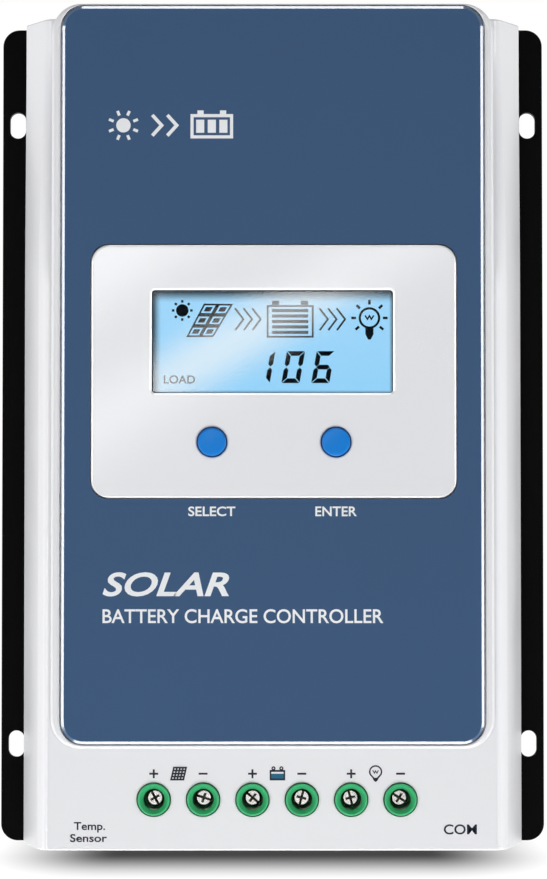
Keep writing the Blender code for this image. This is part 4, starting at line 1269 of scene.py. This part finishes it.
# ------------------------------------------------------------------------ studio
# The controller stands upright on a white table against a white backdrop. The table glows white and is
# darkened round the controller's foot as a painted shadow. Softboxes on all four sides rake across the
# front, and a card with two slanted bands behind the camera gives the diagonal sheen.
white = (1, 1, 1, 1)
floor_z = -0.1352
floor_back_y = -0.0005
floor_front_y = -0.34
floor_half_width = 1.2
shadow_start_x, shadow_end_x = 0.048, 0.094
shadow_start_y, shadow_end_y = -0.076, -0.214
floor_sheet = bpy.data.meshes.new("studio_floor")
floor_sheet.from_pydata([
    (-floor_half_width, floor_front_y, floor_z), (floor_half_width, floor_front_y, floor_z),
    (floor_half_width, floor_back_y, floor_z), (-floor_half_width, floor_back_y, floor_z),
], [], [(0, 1, 2, 3)])
floor = link_piece("studio_floor", floor_sheet)
table_white = grained(
    "studio_table", (0.02, 0.02, 0.02), (0.60, 0.75), tone=0.002, relief=0.02, grain=400,
    finish={"Specular IOR Level": 0.0, "Emission Color": white},
)
table = table_white.node_tree
table_place = wired(table, "ShaderNodeTexCoord").outputs["Object"]
table_axes = wired(table, "ShaderNodeSeparateXYZ", {0: table_place}).outputs
# Painted shadow: the table's glow dims towards the controller's foot and front. The lamps cast no shadow on
# the table.
beyond_side = carried(table, worked_out(table, "ABSOLUTE", table_axes["X"]), shadow_start_x, shadow_end_x)
beyond_front = carried(table, table_axes["Y"], shadow_start_y, shadow_end_y)
away = wired(table, "ShaderNodeCombineXYZ", {"X": beyond_side, "Y": beyond_front}).outputs[0]
distance = wired(table, "ShaderNodeVectorMath", {0: away}, operation="LENGTH").outputs["Value"]
painted_shadow_glow = carried(table, distance, 0.0, 1.0, 0.05, 1.05, smooth=True)
table.links.new(painted_shadow_glow, shader_of(table_white).inputs["Emission Strength"])
one_sided = wired(table, "ShaderNodeMixShader", {
    "Fac": wired(table, "ShaderNodeNewGeometry").outputs["Backfacing"],
    1: shader_of(table_white).outputs[0], 2: wired(table, "ShaderNodeBsdfTransparent").outputs[0],
})
table.links.new(one_sided.outputs[0], table.nodes["Material Output"].inputs["Surface"])
floor.data.materials.append(table_white)
floor.visible_diffuse = False
floor.visible_glossy = False
floor.visible_shadow = False

world = bpy.data.worlds.new("white_studio")
bpy.context.scene.world = world
world.use_nodes = True
sky = world.node_tree
sky.nodes.clear()
sky_direction = wired(sky, "ShaderNodeTexCoord").outputs["Generated"]
sky_axes = wired(sky, "ShaderNodeSeparateXYZ", {0: sky_direction}).outputs
from_behind = carried(sky, sky_axes["Y"], -0.75, -0.25, 0.0, 0.80, smooth=True)
from_below = carried(sky, sky_axes["Z"], -1.0, 1.0, 1.35, 0.45)
lit = wired(sky, "ShaderNodeBackground", {
    "Color": white, "Strength": worked_out(sky, "MULTIPLY", from_behind, from_below),
})
seen = wired(sky, "ShaderNodeBackground", {"Color": white, "Strength": 1.0})
camera_sees_white = wired(sky, "ShaderNodeMixShader", {
    "Fac": wired(sky, "ShaderNodeLightPath").outputs["Is Camera Ray"], 1: lit.outputs[0], 2: seen.outputs[0],
})
wired(sky, "ShaderNodeOutputWorld", {"Surface": camera_sees_white.outputs[0]})

aim = Vector((0, -0.06, 0))
reach = 0.90


def softbox(name, place, width, height, radiance):
    """A rectangular light that faces the front of the controller; radiance sets its brightness."""
    lamp = bpy.data.lights.new(name, "AREA")
    lamp.shape = "RECTANGLE"
    lamp.size = width
    lamp.size_y = height
    lamp.energy = radiance * math.pi * width * height
    holder = bpy.data.objects.new(name, lamp)
    bpy.context.scene.collection.objects.link(holder)
    facing = (aim - Vector(place)).to_track_quat("-Z", "Y").to_matrix().to_4x4()
    holder.matrix_world = Matrix.Translation(place) @ facing


def raking(edge, degrees):
    """A place at arm's length from an edge of the front, turned from straight ahead by an angle."""
    out = edge.normalized()
    turn = math.radians(degrees)
    return edge + Vector((0, aim.y, 0)) + reach * (out * math.sin(turn) + Vector((0, -math.cos(turn), 0)))


# Narrow strips brighten the bevels, the well light reaches down to the screws, and wide boxes level with
# the back fill the outer walls.
strip_drop = Vector((0, 0, 0.07))
for name, side in (("strip_left", -1), ("strip_right", 1)):
    softbox(name, raking(Vector((side * 0.067, 0, 0)), 56) - strip_drop, 0.13, 0.82, 10.0)
softbox("strip_top", raking(Vector((0, 0, 0.130)), 59), 0.36, 0.16, 8.0)
softbox("strip_bottom", raking(Vector((0, 0, -0.100)), 55), 0.95, 0.20, 9.0)
softbox("well_light", (0, -1.64, -0.195), 0.36, 0.12, 2.6)
for name, side, radiance in (("side_left", -1, 1.3), ("side_right", 1, 1.0)):
    softbox(name, (side * 0.95, 0.04, -0.25), 0.45, 0.9, radiance)

sheen_card = block("sheen_card", (-0.24, -1.662, -0.12), (0.24, -1.660, 0.36))
card_glow = grained(
    "sheen_card_glow", (0.0, 0.0, 0.0), (0.9, 1.0), tone=0.0, relief=0.0,
    finish={"Specular IOR Level": 0.0, "Emission Color": white},
)
card = card_glow.node_tree
card_place = wired(card, "ShaderNodeTexCoord").outputs["Object"]
bands = 0.0
for centre, half_width, radiance in ((0.1315, 0.034, 5.0), (0.232, 0.052, 6.5)):
    bands = worked_out(card, "ADD", bands, slanted_band(card, card_place, centre, half_width, radiance))
card.links.new(bands, shader_of(card_glow).inputs["Emission Strength"])
sheen_card.data.materials.append(card_glow)
sheen_card.visible_camera = False

camera_data = bpy.data.cameras.new("front_camera")
camera_data.sensor_width = 36
camera_data.lens = 164.6
camera_data.clip_start = 0.01
camera = bpy.data.objects.new("front_camera", camera_data)
bpy.context.scene.collection.objects.link(camera)
camera.location = (0.0003, -1.340, -0.0605)
camera.rotation_euler = (math.radians(92.506), 0, 0)
bpy.context.scene.camera = camera
bpy.context.scene.view_settings.view_transform = "Standard"
